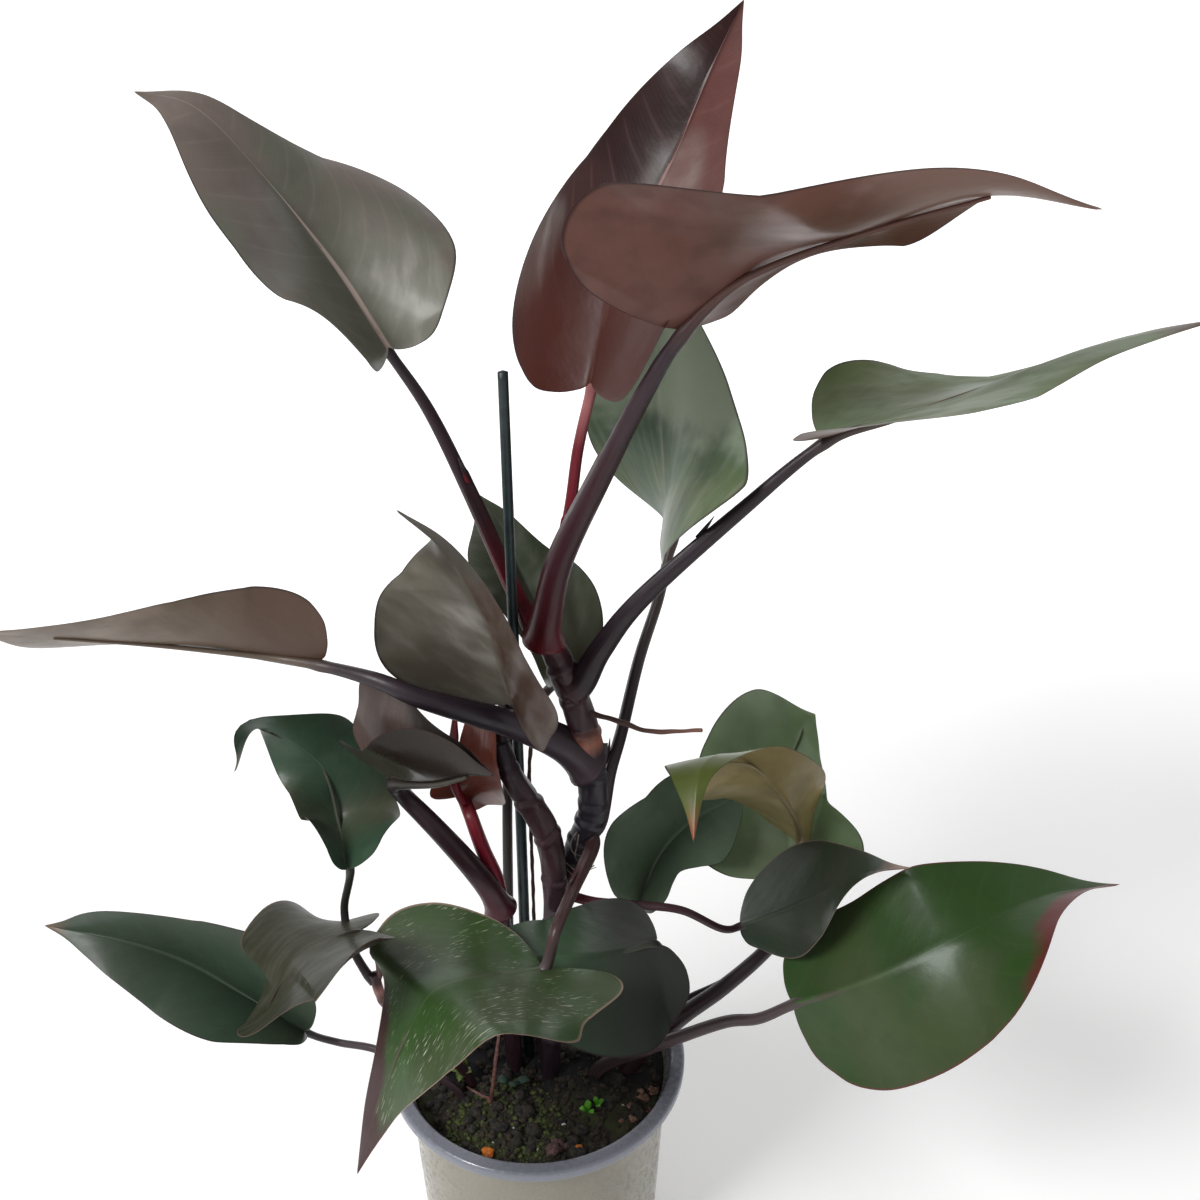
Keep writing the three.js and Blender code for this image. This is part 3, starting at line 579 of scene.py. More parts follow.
def blade_finish(name, upper, blotch, below, rib, edge=(44, 30, 30), tip=None, tip_from=0.9, tip_side=0,
                 rib_width=0.03, rib_end=0.7, rib_share=0.7, gloss=0.4, dust=0.0, base=None, right=None,
                 rim=None, painted_sheen=0.0, streaks=(4, 1.2), painted_glints=(), mirror=0.2):
    """Skin of a blade: two cloudy shades above and one below, a midrib line, faint side veins, a dark
    margin, and where given another shade on the right half, at the base, at the tip and towards the margin.
    The right half's shade is painted light where that half faces the lamp and painted shade where it
    faces away. The tip's shade comes sooner near the right margin where tip_side is 1. Gloss is the
    roughness, and mirror how strongly the skin mirrors its surroundings. The sheen is painted highlight:
    the share of pale streaks, and streaks says how fine they are along and out; the glints are painted
    highlights in paler places: along, out, size and share. Dust is the share of pale specks. All are
    placed by how far a point is along and out on the leaf."""
    material, tree, shader, places = new_finish(name, gloss, 0.6 * mirror, 0.2)
    shader.inputs["Specular IOR Level"].default_value = mirror
    form = add_node(tree, "ShaderNodeAttribute", {}, attribute_name="form").outputs["Vector"]
    beneath = add_node(tree, "ShaderNodeAttribute", {}, attribute_name="mark").outputs["Fac"]
    along, signed, margin = add_node(tree, "ShaderNodeSeparateXYZ", {0: form}).outputs
    out = calc(tree, "ABSOLUTE", signed)
    bow = calc(tree, "MULTIPLY", calc(tree, "MULTIPLY", out, out), VEIN_BOW)
    straight = calc(tree, "SUBTRACT", along, calc(tree, "MULTIPLY", out, VEIN_SLANT))
    slanted = calc(tree, "SUBTRACT", straight, bow)
    main_gap = calc(tree, "PINGPONG", calc(tree, "MULTIPLY", slanted, VEINS), 0.5)
    fine_gap = calc(tree, "PINGPONG", calc(tree, "MULTIPLY", slanted, 7 * VEINS), 0.5)
    inside = calc(tree, "MULTIPLY", rising(tree, margin, 1.0, 0.7), rising(tree, out, 0.02, 0.12))
    main_vein = calc(tree, "MULTIPLY", rising(tree, main_gap, 0.11, 0.02), inside)
    fine_vein = calc(tree, "MULTIPLY", rising(tree, fine_gap, 0.4, 0.1), inside)
    cloud = rising(tree, grain(tree, places, 15, 3), 0.4, 0.62)
    shade = mixed(tree, cloud, paint(*upper), paint(*blotch))
    # Painted light and shade: the right half's own shade is paler where it faces the lamp, darker where not.
    if right:
        shade = mixed(tree, rising(tree, signed, -0.02, 0.06), shade, paint(*right))
    if rim:
        outer = rising(tree, grain_over(tree, margin, places, 40, 0.35), 0.85, 1.05)
        shade = mixed(tree, outer, shade, paint(*rim))
    darker = add_node(tree, "ShaderNodeHueSaturation", {"Value": 0.7, "Color": shade}).outputs[0]
    shade = mixed(tree, rising(tree, grain(tree, places, 60, 5), 0.4, 0.75, 0.55), shade, darker)
    # Painted highlights: pale streaks all over by the sheen share, and paler patches at the glints.
    if painted_sheen or painted_glints:
        stretched = add_node(tree, "ShaderNodeCombineXYZ", {
            0: calc(tree, "MULTIPLY", slanted, streaks[0]), 1: calc(tree, "MULTIPLY", signed, streaks[1])})
        streak = rising(tree, grain(tree, stretched.outputs[0], 2, 5), 0.4, 0.72)
        share = calc(tree, "MULTIPLY", streak, painted_sheen)
        for at, across, size, strength in painted_glints:
            far_along = calc(tree, "POWER", calc(tree, "SUBTRACT", along, at), 2)
            far_out = calc(tree, "POWER", calc(tree, "SUBTRACT", signed, across), 2)
            far = calc(tree, "ADD", far_along, calc(tree, "MULTIPLY", far_out, 0.25))
            patch = rising(tree, far, size * size, 0.1 * size * size, strength)
            veiled = calc(tree, "ADD", calc(tree, "MULTIPLY", streak, 0.7), 0.3)
            share = calc(tree, "ADD", share, calc(tree, "MULTIPLY", patch, veiled))
        shade = mixed(tree, share, shade, paint(172, 168, 162))
    if dust:
        strokes = add_node(tree, "ShaderNodeMapping", {"Vector": form, "Scale": (13, 34, 1)}).outputs[0]
        specks = rising(tree, grain(tree, strokes, 2, 5), 0.58, 0.7, dust)
        patch = rising(tree, grain(tree, places, 28, 3), 0.45, 0.6)
        shade = mixed(tree, calc(tree, "MULTIPLY", specks, patch), shade, paint(176, 180, 160))
    faint = calc(tree, "MULTIPLY", fine_vein, 0.3 * VEIN_SHARE)
    lines = calc(tree, "ADD", calc(tree, "MULTIPLY", main_vein, VEIN_SHARE), faint)
    shade = mixed(tree, lines, shade, paint(*rib))
    narrowing = rising(tree, along, rib_end, 0.0, rib_width)
    line = calc(tree, "DIVIDE", out, calc(tree, "ADD", narrowing, 0.002))
    on_rib = rising(tree, line, 1.0, 0.4, rib_share)
    shade = mixed(tree, on_rib, shade, paint(*rib))
    under_shade = mixed(tree, cloud, paint(*below), paint(*[0.88 * part for part in below]))
    deep = paint(*[0.75 * part for part in below])
    under_shade = mixed(tree, calc(tree, "MULTIPLY", main_vein, 2 * VEIN_SHARE), under_shade, deep)
    under_shade = mixed(tree, rising(tree, grain(tree, places, 60, 5), 0.4, 0.75, 0.5), under_shade, deep)
    shade = mixed(tree, beneath, shade, under_shade)
    if base:
        inner = rising(tree, grain_over(tree, along, places, 30, 0.2), 0.45, 0.1)
        shade = mixed(tree, inner, shade, paint(*base))
    if tip:
        on_side = rising(tree, signed, 0, 0.05 * tip_side, 0.35 * tip_side)
        near_edge = calc(tree, "MULTIPLY", margin, on_side)
        flush = grain_over(tree, calc(tree, "ADD", along, near_edge), places, 60, 0.2)
        shade = mixed(tree, rising(tree, flush, tip_from, tip_from + 0.14), shade, paint(*tip))
    shade = mixed(tree, rising(tree, margin, 0.972, 0.995, 0.8), shade, paint(*edge))
    tree.links.new(shade, shader.inputs["Base Color"])
    worn = rising(tree, grain(tree, places, 30, 4), 0.35, 0.7, 0.16)
    tree.links.new(calc(tree, "ADD", worn, gloss - 0.07), shader.inputs["Roughness"])
    wrinkled = add_node(tree, "ShaderNodeCombineXYZ", {0: slanted, 1: calc(tree, "MULTIPLY", signed, 0.25)})
    wrinkle = grain(tree, wrinkled.outputs[0], 26, 3)
    height = calc(tree, "ADD", calc(tree, "MULTIPLY", wrinkle, 0.35), grain(tree, places, 60, 4))
    raise_grain(tree, shader, height, 0.0008, 0.5)
    return material


def stalk_relief(length, sheath):
    """Relief of a leaf stalk: a flared foot, a knee under the blade, a channel on top, and the two low wings
    of a sheath beside it that end at a distance from the foot."""
    def relief(distance, angle):
        across = np.angle(np.exp(1j * angle))
        flare = 0.35 * np.exp(-distance / 5)
        knee = 0.16 * np.exp(-(((distance - length) / 4) ** 2))
        before = 1 - smooth_step(distance, sheath - 1.5, sheath)
        wings = 0.24 * before * np.exp(-(((np.abs(across) - 0.75) / 0.22) ** 2))
        channel = 0.14 * np.exp(-((across / 0.5) ** 2)) * (1 - smooth_step(distance, length - 12, length))
        return 1 + flare + knee + wings - channel
    return relief


def grow_leaf(name, stalk, radius, midrib, face, twist, width, lobe, belly, lift, curl, looks, stalk_stops,
              sheath=0.0):
    """A whole leaf: its stalk, its midrib and its blade, in one piece. The stalk's colours are placed along
    it up to the blade, where the midrib takes the blade's underside colour. A sheath runs up that share of
    the stalk, and its small tongue stands off at its end."""
    skin, frame_at = blade(midrib, face, twist, width, lobe, belly, lift, curl)
    rib_radii = radius[1] * RIB_SHARES
    centres, up = frame_at(RIB_STATIONS)
    ribs = centres - up * rib_radii[:, None]
    stalk_radii = [radius[0] + (radius[1] - radius[0]) * step / len(stalk) for step in range(len(stalk))]
    route = np.vstack([stalk, ribs])
    whole = even_path(route, 1500)
    foot = len(stalk) / (len(route) - 1)
    length = float(np.interp(foot, whole[3], whole[2]))
    relief = stalk_relief(length, sheath * length)
    skins = [skin, rod(route, [*stalk_radii, *rib_radii], face, 24, 1.6, relief, 1)]
    if sheath:
        place = np.interp([sheath * length - 7, sheath * length, sheath * length + 6], whole[2], whole[3])
        spots = curve(route, place)
        thick = float(np.interp(place[1], np.linspace(0, 1, len(route)), [*stalk_radii, *rib_radii]))
        along = even_path(spots, 3)[1]
        out = carried(along, face)
        tongue = spots + out * np.array([[0.9], [1.15], [1.5]]) * thick
        skins.append(rod(tongue, [1.0, 0.9, 0.15], face, 10, 0.8, None, 1))
    stops = [(0.94 * foot * place, colour) for place, colour in stalk_stops]
    stops = [*stops, (foot + 0.08, [0.8 * part for part in looks["below"]]), (1, looks["below"])]
    finishes = [blade_finish(f"{name} blade", **looks), stalk_finish(f"{name} stalk", stops)]
    add_piece(name, skins, finishes, name, name)


grow_leaf(
    "leaf_top_right",
    stalk=[[9, 0, 422], [11, -2, 437], [18, -4, 468], [36, -11, 511], [54, -22, 553]],
    radius=[8, 3],
    midrib=[[69, -23, 582], [98, -34, 610], [133, -58, 629], [173, -75, 645], [209, -90, 643]],
    face=[-0.2, 0.8, 0.55],
    twist=[10, 10],
    width=[54, 88],
    lobe=[0.04, 0.04],
    belly=[-0.35, 0.05],
    lift=[[50, 30, 40], [5, -20, -5]],
    curl=[[-50, -50, -40], [-5, 30, 25]],
    looks=dict(upper=(50, 32, 32), blotch=(44, 28, 28), below=(106, 73, 66), rib=(54, 34, 34),
           rib_share=0.6, tip=(124, 98, 92), tip_from=0.55),
    stalk_stops=[(0, (96, 30, 38)), (0.4, (60, 34, 40)), (1, (46, 34, 40))],
    sheath=0.62,
)
grow_leaf(
    "leaf_top_left",
    stalk=[[8, 4, 418], [2, 11, 425], [-8, 19, 444], [-25, 21, 489], [-43, 25, 530]],
    radius=[5.2, 2.4],
    midrib=[[-61, 33, 558], [-84, 40, 594], [-111, 38, 633], [-136, 39, 660], [-164, 47, 666]],
    face=[0.35, -0.7, 0.65],
    twist=[20, 5],
    width=[60, 44],
    lobe=[0.04, 0.04],
    belly=[0.05, 0.35],
    lift=[[35, 15, 10], [70, 20, -10]],
    curl=[[45, -5, -35], [-50, -50, -50]],
    # The glint at the base of the right half is a painted highlight.
    looks=dict(upper=(97, 98, 87), blotch=(108, 97, 91), below=(62, 56, 54), rib=(176, 158, 150),
           rib_share=0.85, gloss=0.4, tip=(92, 76, 72), rib_width=0.06, rib_end=0.62, painted_glints=[(0.1, 0.5,
           0.3, 0.5)]),
    stalk_stops=[(0, STALK_CRIMSON), (0.45, (88, 24, 34)), (0.6, (50, 30, 36)), (1, STALK_DARK)],
    sheath=0.6,
)
grow_leaf(
    "leaf_top_middle",
    stalk=[[10, 2, 424], [9, 6, 430], [15, 7, 452], [22, 10, 488], [26, 14, 516]],
    radius=[3.2, 2.5],
    midrib=[[32, 17, 546], [44, 36, 590], [68, 47, 638], [84, 51, 675], [98, 67, 701]],
    face=[-0.3, -0.9, 0.3],
    twist=[0, 15],
    width=[55, 62],
    lobe=[0.04, 0.04],
    belly=[0.1, 0.1],
    lift=[[-10, -10, 5], [42, 36, 45]],
    curl=[[-25, -25, -30], [20, 10, 30]],
    # The paler right half is painted light, and the glints are painted highlights.
    looks=dict(upper=(38, 18, 18), blotch=(48, 23, 21), below=(80, 44, 40), rib=(150, 116, 112),
           right=(90, 56, 52), base=(62, 28, 21), gloss=0.42, rib_width=0.05, rib_end=0.9, painted_glints=[(0.5,
           0.15, 0.2, 0.35), (0.25, -0.95, 0.16, 0.5)]),
    stalk_stops=[(0, (84, 26, 34)), (0.4, STALK_CRIMSON), (0.85, (104, 26, 38)), (1, (150, 92, 92))],
    sheath=0.5,
)
grow_leaf(
    "leaf_right",
    stalk=[[22, 0, 396], [28, -1, 402], [37, -2, 420], [56, -2, 447], [100, -1, 491]],
    radius=[8, 2.6],
    midrib=[[135, -4, 528], [162, -9, 539], [189, -12, 549], [239, -16, 571], [287, -27, 587]],
    face=[0, 0.15, 1],
    twist=[0, -5],
    width=[105, 83],
    lobe=[0.04, 0.04],
    belly=[-0.1, 0.2],
    lift=[[7, -13, 6], [12, 0, -5]],
    curl=[[18, 12, -38], [3, 3, 0]],
    looks=dict(upper=(62, 86, 26), blotch=(74, 86, 38), below=(104, 88, 80), rib=(108, 108, 76),
           rib_share=0.5, tip=(82, 68, 58), tip_from=0.8, mirror=0.05),
    stalk_stops=[(0, (58, 30, 36)), (0.25, STALK_DARK), (1, STALK_DARK)],
    sheath=0.62,
)
grow_leaf(
    "leaf_left",
    stalk=[[30, 0, 350], [16, -5, 366], [-5, -14, 383], [-26, -30, 401], [-48, -38, 414], [-68, -34, 421]],
    radius=[9.5, 2.6],
    midrib=[[-95, -20, 423], [-127, -15, 424], [-159, -18, 430], [-193, -34, 442], [-232, -63, 462]],
    face=[0, 0.75, 0.65],
    twist=[-10, 0],
    width=[51, 64],
    lobe=[0.04, 0.05],
    belly=[-0.1, -0.05],
    lift=[[15, 10, 0], [5, 5, -10]],
    curl=[[35, 20, -5], [10, 10, 20]],
    looks=dict(upper=(86, 70, 62), blotch=(82, 66, 58), below=(122, 106, 92), rib=(70, 54, 52), base=(76,
           58, 47), rim=(92, 86, 82)),
    stalk_stops=[(0, (56, 44, 50)), (0.5, (44, 36, 44)), (1, (48, 38, 42))],
    sheath=0.35,
)
grow_leaf(
    "leaf_back",
    stalk=[[28, 2, 303], [36, 5, 310], [41, 10, 338], [47, 19, 357], [56, 35, 391], [66, 50, 418], [71,
           60, 437]],
    radius=[4, 2.5],
    midrib=[[73, 67, 452], [69, 76, 489], [65, 81, 532], [61, 88, 566], [57, 96, 590]],
    face=[-0.95, -0.2, 0.3],
    twist=[20, 35],
    width=[40, 87],
    lobe=[0.06, 0.07],
    belly=[0.2, 0.15],
    lift=[[-20, 30, 65], [35, 25, 5]],
    curl=[[25, 30, 30], [-35, -35, -30]],
    # The pale upper part is painted light over the leaves' shadow; the sheen and glint are painted
    # highlights.
    looks=dict(upper=(84, 98, 66), blotch=(78, 98, 78), below=(92, 90, 76), rib=(140, 130, 108),
           rib_share=0.6, tip=(156, 170, 146), tip_from=0.35, painted_sheen=0.14, streaks=(1.5, 7), painted_glints=[(0.5,
           0.5, 0.2, 0.25)]),
    stalk_stops=[(0, (52, 34, 38)), (0.5, (48, 38, 44)), (1, (72, 60, 56))],
    sheath=0.3,
)
grow_leaf(
    "leaf_front",
    stalk=[[31, 0, 306], [32, -9, 303], [23, -36, 300], [15, -65, 300]],
    radius=[3.6, 2.8],
    midrib=[[7, -74, 282], [-35, -97, 294], [-49, -110, 284], [-63, -125, 255], [-75, -143, 223]],
    face=[-0.5, -0.05, 0.85],
    twist=[0, -5],
    width=[61, 66],
    lobe=[0.2, 0.04],
    belly=[0.3, 0.3],
    lift=[[5, 0, 10], [0, -15, -5]],
    curl=[[-20, 25, 30], [20, 10, -20]],
    looks=dict(upper=(54, 78, 42), blotch=(66, 78, 52), below=(80, 76, 60), rib=(96, 100, 76), edge=(150,
           124, 112), tip=(62, 42, 42), tip_from=0.74, tip_side=1, dust=0.8, rib_share=0.3, mirror=0.12),
    stalk_stops=[(0, (54, 38, 42)), (0.5, (66, 42, 42)), (0.85, (72, 54, 54)), (1, (82, 72, 74))],
    sheath=0.4,
)
grow_leaf(
    "leaf_right_small",
    stalk=[[15, 6, 261], [30, 2, 259], [41, 0, 259], [61, -4, 261], [81, -6, 259], [103, -1, 242]],
    radius=[2.6, 2],
    midrib=[[114, 7, 238], [133, -3, 255], [154, -13, 277], [174, -21, 297], [194, -25, 304]],
    face=[0, -0.5, 0.85],
    twist=[-10, -40],
    width=[46, 25],
    lobe=[0.04, 0.04],
    belly=[0.05, 0],
    lift=[[-30, -15, 5], [-50, -5, 45]],
    curl=[[10, 5, 0], [-15, -5, 10]],
    looks=dict(upper=(42, 52, 41), blotch=(50, 53, 46), below=(58, 60, 52), rib=(70, 74, 64), tip=(140,
           116, 106), tip_from=0.85, edge=(116, 98, 92), rib_share=0.4),
    stalk_stops=[(0, (84, 24, 34)), (0.5, (56, 26, 34)), (1, (52, 38, 42))],
    sheath=0.3,
)

# The leaves of the three lesser stems
# The same one-piece leaves on shorter stalks: one on the second stem, two on the third, two on the left.
# The third stem's older leaf is folded shut, and its younger one is still red.

grow_leaf(
    "leaf_centre",
    stalk=[[-12, -3, 358], [-14, 1, 370], [-13, 2, 381], [-10, -4, 391]],
    radius=[3, 2.4],
    midrib=[[-6, -24, 402], [-13, -33, 441], [-20, -43, 470], [-31, -48, 494], [-50, -45, 511]],
    face=[-0.5, -0.65, 0.55],
    twist=[-5, -20],
    width=[62, 44],
    lobe=[0.06, 0.12],
    belly=[0.05, 0.1],
    lift=[[0, -5, -25], [30, 15, -25]],
    curl=[[50, 45, 35], [-25, 0, 25]],
    # The darker right half is painted shade; the sheen and glint are painted highlights.
    looks=dict(upper=(80, 76, 66), blotch=(72, 68, 60), below=(84, 62, 50), rib=(84, 72, 62), right=(62,
           46, 38), gloss=0.36, rib_share=0.4, tip=(62, 58, 52), tip_from=0.6, painted_sheen=0.1, painted_glints=[(0.35,
           -0.15, 0.2, 0.3)]),
    stalk_stops=[(0, STALK_DARK), (1, (70, 52, 50))],
)
grow_leaf(
    "leaf_folded",
    stalk=[[-18, 0, 255], [-23, -4, 272], [-33, -8, 293], [-48, -10, 317], [-62, -9, 335]],
    radius=[7, 4],
    midrib=[[-68, -18, 354], [-53, -35, 364], [-38, -51, 376], [-25, -62, 387], [-11, -73, 395]],
    face=[-0.5, 0, 0.85],
    twist=[0, -30],
    width=[48, 46],
    lobe=[0.2, 0.04],
    belly=[0.2, -0.3],
    lift=[[75, 70, 75], [75, 70, 80]],
    curl=[[5, -10, 10], [5, -5, 15]],
    # The sheen is a painted highlight.
    looks=dict(upper=(78, 60, 56), blotch=(66, 52, 48), below=(54, 49, 42), rib=(64, 56, 50), gloss=0.32,
           rib_share=0.4, tip=(36, 30, 26), tip_from=0.4, painted_sheen=0.05),
    stalk_stops=[(0, (72, 24, 36)), (0.4, (48, 28, 36)), (1, (44, 34, 40))],
)
grow_leaf(
    "leaf_new",
    stalk=[[-18, 0, 255], [-20, 1, 275], [-26, 1, 295], [-31, 1, 315]],
    radius=[4.6, 3.4],
    midrib=[[-38, 13, 321], [-25, 2, 353], [-21, 1, 379], [-19, 7, 396], [-17, 17, 405]],
    face=[0, -0.85, 0.55],
    twist=[-45, -25],
    width=[23, 19],
    lobe=[0.04, 0.1],
    belly=[-0.45, 0.2],
    lift=[[35, 5, -20], [-20, -5, 5]],
    curl=[[15, 5, -5], [10, 5, 5]],
    looks=dict(upper=(124, 66, 52), blotch=(106, 56, 46), below=(136, 80, 64), rib=(116, 74, 62),
           gloss=0.36),
    stalk_stops=[(0, STALK_CRIMSON), (0.6, (116, 22, 42)), (1, (122, 48, 52))],
)
grow_leaf(
    "leaf_left_low",
    stalk=[[-83, -34, 236], [-87, -33, 241], [-95, -26, 254], [-98, -19, 272]],
    radius=[2.4, 2],
    midrib=[[-91, -30, 308], [-102, 4, 312], [-110, 13, 341], [-138, 8, 367], [-153, 6, 341]],
    face=[-0.2, -0.75, 0.65],
    twist=[20, -85],
    width=[25, 33],
    lobe=[0.04, 0.05],
    belly=[-0.05, 0],
    lift=[[75, 20, -25], [25, -10, -20]],
    curl=[[40, 15, 10], [-40, -50, 30]],
    looks=dict(upper=(56, 76, 60), blotch=(72, 74, 60), below=(84, 88, 74), rib=(96, 106, 90), tip=(124,
           112, 98), tip_from=0.85, rib_share=0.5),
    stalk_stops=[(0, STALK_PURPLE), (0.6, (54, 46, 52)), (1, (56, 58, 54))],
)
grow_leaf(
    "leaf_small",
    stalk=[[-83, -34, 236], [-80, -34, 240], [-80, -36, 254]],
    radius=[1.8, 1.3],
    midrib=[[-85, -42, 278], [-99, -49, 278], [-115, -58, 273], [-126, -71, 256], [-144, -69, 238]],
    face=[-0.2, 0.65, 0.7],
    twist=[-10, 20],
    width=[71, 71],
    lobe=[0.1, 0.18],
    belly=[0.25, 0.1],
    lift=[[-25, -10, 10], [20, 20, 35]],
    curl=[[40, 0, -20], [-30, 10, 50]],
    # The sheen is a painted highlight.
    looks=dict(upper=(46, 48, 36), blotch=(52, 52, 40), below=(58, 52, 45), rib=(74, 72, 60), edge=(110,
           84, 78), rib_share=0.4, painted_sheen=0.05, streaks=(1.5, 7), mirror=0.05),
    stalk_stops=[(0, (100, 58, 56)), (1, (70, 60, 54))],
)

# The lone leaves
# Seven leaves whose stalks go straight down into the soil, from short stems that are under it.
# Their blades stand around the pot, and two of them lie behind the stems.

grow_leaf(
    "leaf_inner_back",
    stalk=[[-18, 16, 112], [-18, 17, 142], [-16, 24, 232], [-14, 32, 318], [-9, 42, 349], [7, 51, 362]],
    radius=[3, 2.6],
    midrib=[[15, 40, 381], [10, 50, 400], [-4, 62, 426], [-16, 71, 453], [-31, 78, 469]],
    face=[-0.1, -0.8, 0.55],
    twist=[10, -20],
    width=[50, 39],
    lobe=[0.05, 0.04],
    belly=[-0.1, 0.15],
    lift=[[75, 55, 35], [55, 50, 40]],
    curl=[[20, 15, 5], [-5, -10, -10]],
    # The sheen and glint are painted highlights.
    looks=dict(upper=(64, 71, 57), blotch=(70, 73, 62), below=(90, 90, 78), rib=(84, 90, 76), base=(100,
           102, 86), painted_sheen=0.1, painted_glints=[(0.3, 0.5, 0.25, 0.25)]),
    stalk_stops=[(0, (78, 76, 68)), (0.5, (54, 48, 50)), (1, STALK_PURPLE)],
)
grow_leaf(
    "leaf_low_left",
    stalk=[[-40, -25, 112], [-44, -24, 142], [-66, -20, 157], [-92, -11, 162], [-115, -3, 159]],
    radius=[2.4, 2],
    midrib=[[-132, -8, 173], [-165, 6, 185], [-201, 15, 204], [-239, 16, 220], [-281, 23, 223]],
    face=[0.1, -0.65, 0.75],
    twist=[-10, -10],
    width=[39, 64],
    lobe=[0.04, 0.04],
    belly=[0, 0.05],
    lift=[[80, 40, 10], [75, 60, 45]],
    curl=[[-35, -25, -20], [-30, -5, 15]],
    looks=dict(upper=(52, 66, 53), blotch=(58, 68, 56), below=(66, 72, 62), rib=(72, 84, 72), tip=(104,
           78, 60), tip_from=0.88, rib_share=0.4),
    stalk_stops=[(0, STALK_PURPLE), (0.4, (66, 54, 58)), (1, (60, 52, 56))],
)
grow_leaf(
    "leaf_front_middle",
    stalk=[[30, 10, 112], [31, 10, 142], [50, 1, 185], [67, -21, 233]],
    radius=[2.6, 2.2],
    midrib=[[65, -36, 264], [41, -47, 267], [15, -53, 270], [-15, -54, 267], [-43, -49, 253]],
    face=[0, -0.45, 0.9],
    twist=[20, 0],
    width=[54, 44],
    lobe=[0.13, 0.04],
    belly=[-0.05, -0.05],
    lift=[[-35, -15, 0], [-20, -15, -5]],
    curl=[[20, 10, 10], [0, 0, 0]],
    looks=dict(upper=(62, 82, 62), blotch=(62, 74, 60), below=(70, 72, 62), rib=(66, 86, 68), base=(48,
           50, 47), rib_share=0.4),
    stalk_stops=[(0, (52, 28, 34)), (0.3, STALK_DARK), (1, STALK_DARK)],
)
grow_leaf(
    "leaf_low_right",
    stalk=[[32, -4, 112], [37, -5, 142], [76, -12, 170], [105, -18, 190], [123, -25, 200]],
    radius=[4.3, 2.8],
    midrib=[[140, -32, 218], [175, -46, 248], [214, -47, 276], [257, -39, 296], [296, -38, 304]],
    face=[-0.2, -0.65, 0.7],
    twist=[0, -40],
    width=[51, 60],
    lobe=[0.04, 0.04],
    belly=[-0.15, -0.1],
    lift=[[-30, -15, -5], [-40, 5, 50]],
    curl=[[10, 15, 25], [35, 15, -10]],
    looks=dict(upper=(44, 66, 33), blotch=(60, 72, 45), below=(80, 82, 60), rib=(72, 94, 60), tip=(84, 40,
           38), tip_from=0.9, tip_side=1, edge=(90, 46, 48), rib_share=0.3),
    stalk_stops=[(0, (60, 44, 48)), (0.5, (76, 64, 66)), (1, (66, 54, 56))],
    sheath=0.42,
)
grow_leaf(
    "leaf_back_small",
    stalk=[[20, 25, 112], [21, 26, 142], [44, 36, 188], [56, 42, 208]],
    radius=[2.3, 1.9],
    midrib=[[59, 37, 228], [70, 55, 246], [88, 66, 263], [110, 73, 273], [123, 77, 284]],
    face=[-0.15, -0.7, 0.7],
    twist=[15, 5],
    width=[59, 39],
    lobe=[0.05, 0.05],
    belly=[0.05, -0.4],
    lift=[[75, 50, 10], [60, 45, 20]],
    curl=[[-10, 5, 5], [-5, -5, -10]],
    looks=dict(upper=(82, 98, 80), blotch=(86, 98, 82), below=(100, 108, 88), rib=(110, 124, 104)),
    stalk_stops=[(0, STALK_PURPLE), (1, (70, 56, 56))],
)
grow_leaf(
    "leaf_drooping",
    stalk=[[52, -4, 112], [54, -3, 142], [81, 1, 173], [105, 8, 189], [129, 21, 203], [149, 38, 215],
           [154, 44, 240]],
    radius=[6, 2.7],
    midrib=[[151, 49, 261], [135, 23, 313], [105, 1, 354], [85, -31, 369], [80, -58, 346]],
    face=[-0.1, 0.85, 0.5],
    twist=[25, -25],
    width=[23, 46],
    lobe=[0.08, 0.04],
    belly=[0.15, -0.2],
    lift=[[65, -5, -60], [60, 25, 5]],
    curl=[[-25, -15, -10], [-30, -15, -5]],
    looks=dict(upper=(84, 98, 44), blotch=(78, 88, 44), below=(134, 120, 80), rib=(86, 62, 58), tip=(140,
           66, 52), tip_from=0.9),
    stalk_stops=[(0, (58, 40, 44)), (0.6, STALK_DARK), (1, (84, 66, 60))],
)
grow_leaf(
    "leaf_back_right",
    stalk=[[52, 20, 112], [55, 20, 142], [72, 19, 160], [89, 19, 172], [113, 27, 180], [137, 43, 193]],
    radius=[2.5, 2],
    midrib=[[148, 60, 230], [150, 73, 247], [148, 86, 283], [152, 85, 314], [155, 60, 342]],
    face=[-0.5, -0.8, 0.35],
    twist=[-25, -10],
    width=[67, 49],
    lobe=[0.04, 0.04],
    belly=[-0.05, 0.1],
    lift=[[45, 25, 0], [0, 5, 5]],
    curl=[[-20, -15, -20], [10, 20, 30]],
    # Its greens are painted paler as light over the shadow of the leaves in front of it.
    looks=dict(upper=(108, 128, 94), blotch=(110, 124, 97), below=(112, 120, 98), rib=(122, 138, 110),
           rib_share=0.4),
    stalk_stops=[(0, (52, 28, 34)), (0.3, STALK_DARK), (1, STALK_DARK)],
)

# The next leaf and the roots
# The next leaf is a tightly rolled crimson spear that stands in front of the youngest blade.
# Thin brown roots grow from the stems into the air, and one hangs down into the soil.
spear_stops = [(0, STALK_CRIMSON), (0.7, (96, 24, 34)), (1, (140, 60, 60))]
spear_finish = stalk_finish("rolled leaf", spear_stops, 0.35)


def rolled_edge(distance, angle):
    """Relief of a rolled leaf: its free edge is one small step that winds slowly around it."""
    return 1 + 0.16 * ((angle - distance / 22) / (2 * np.pi) % 1)


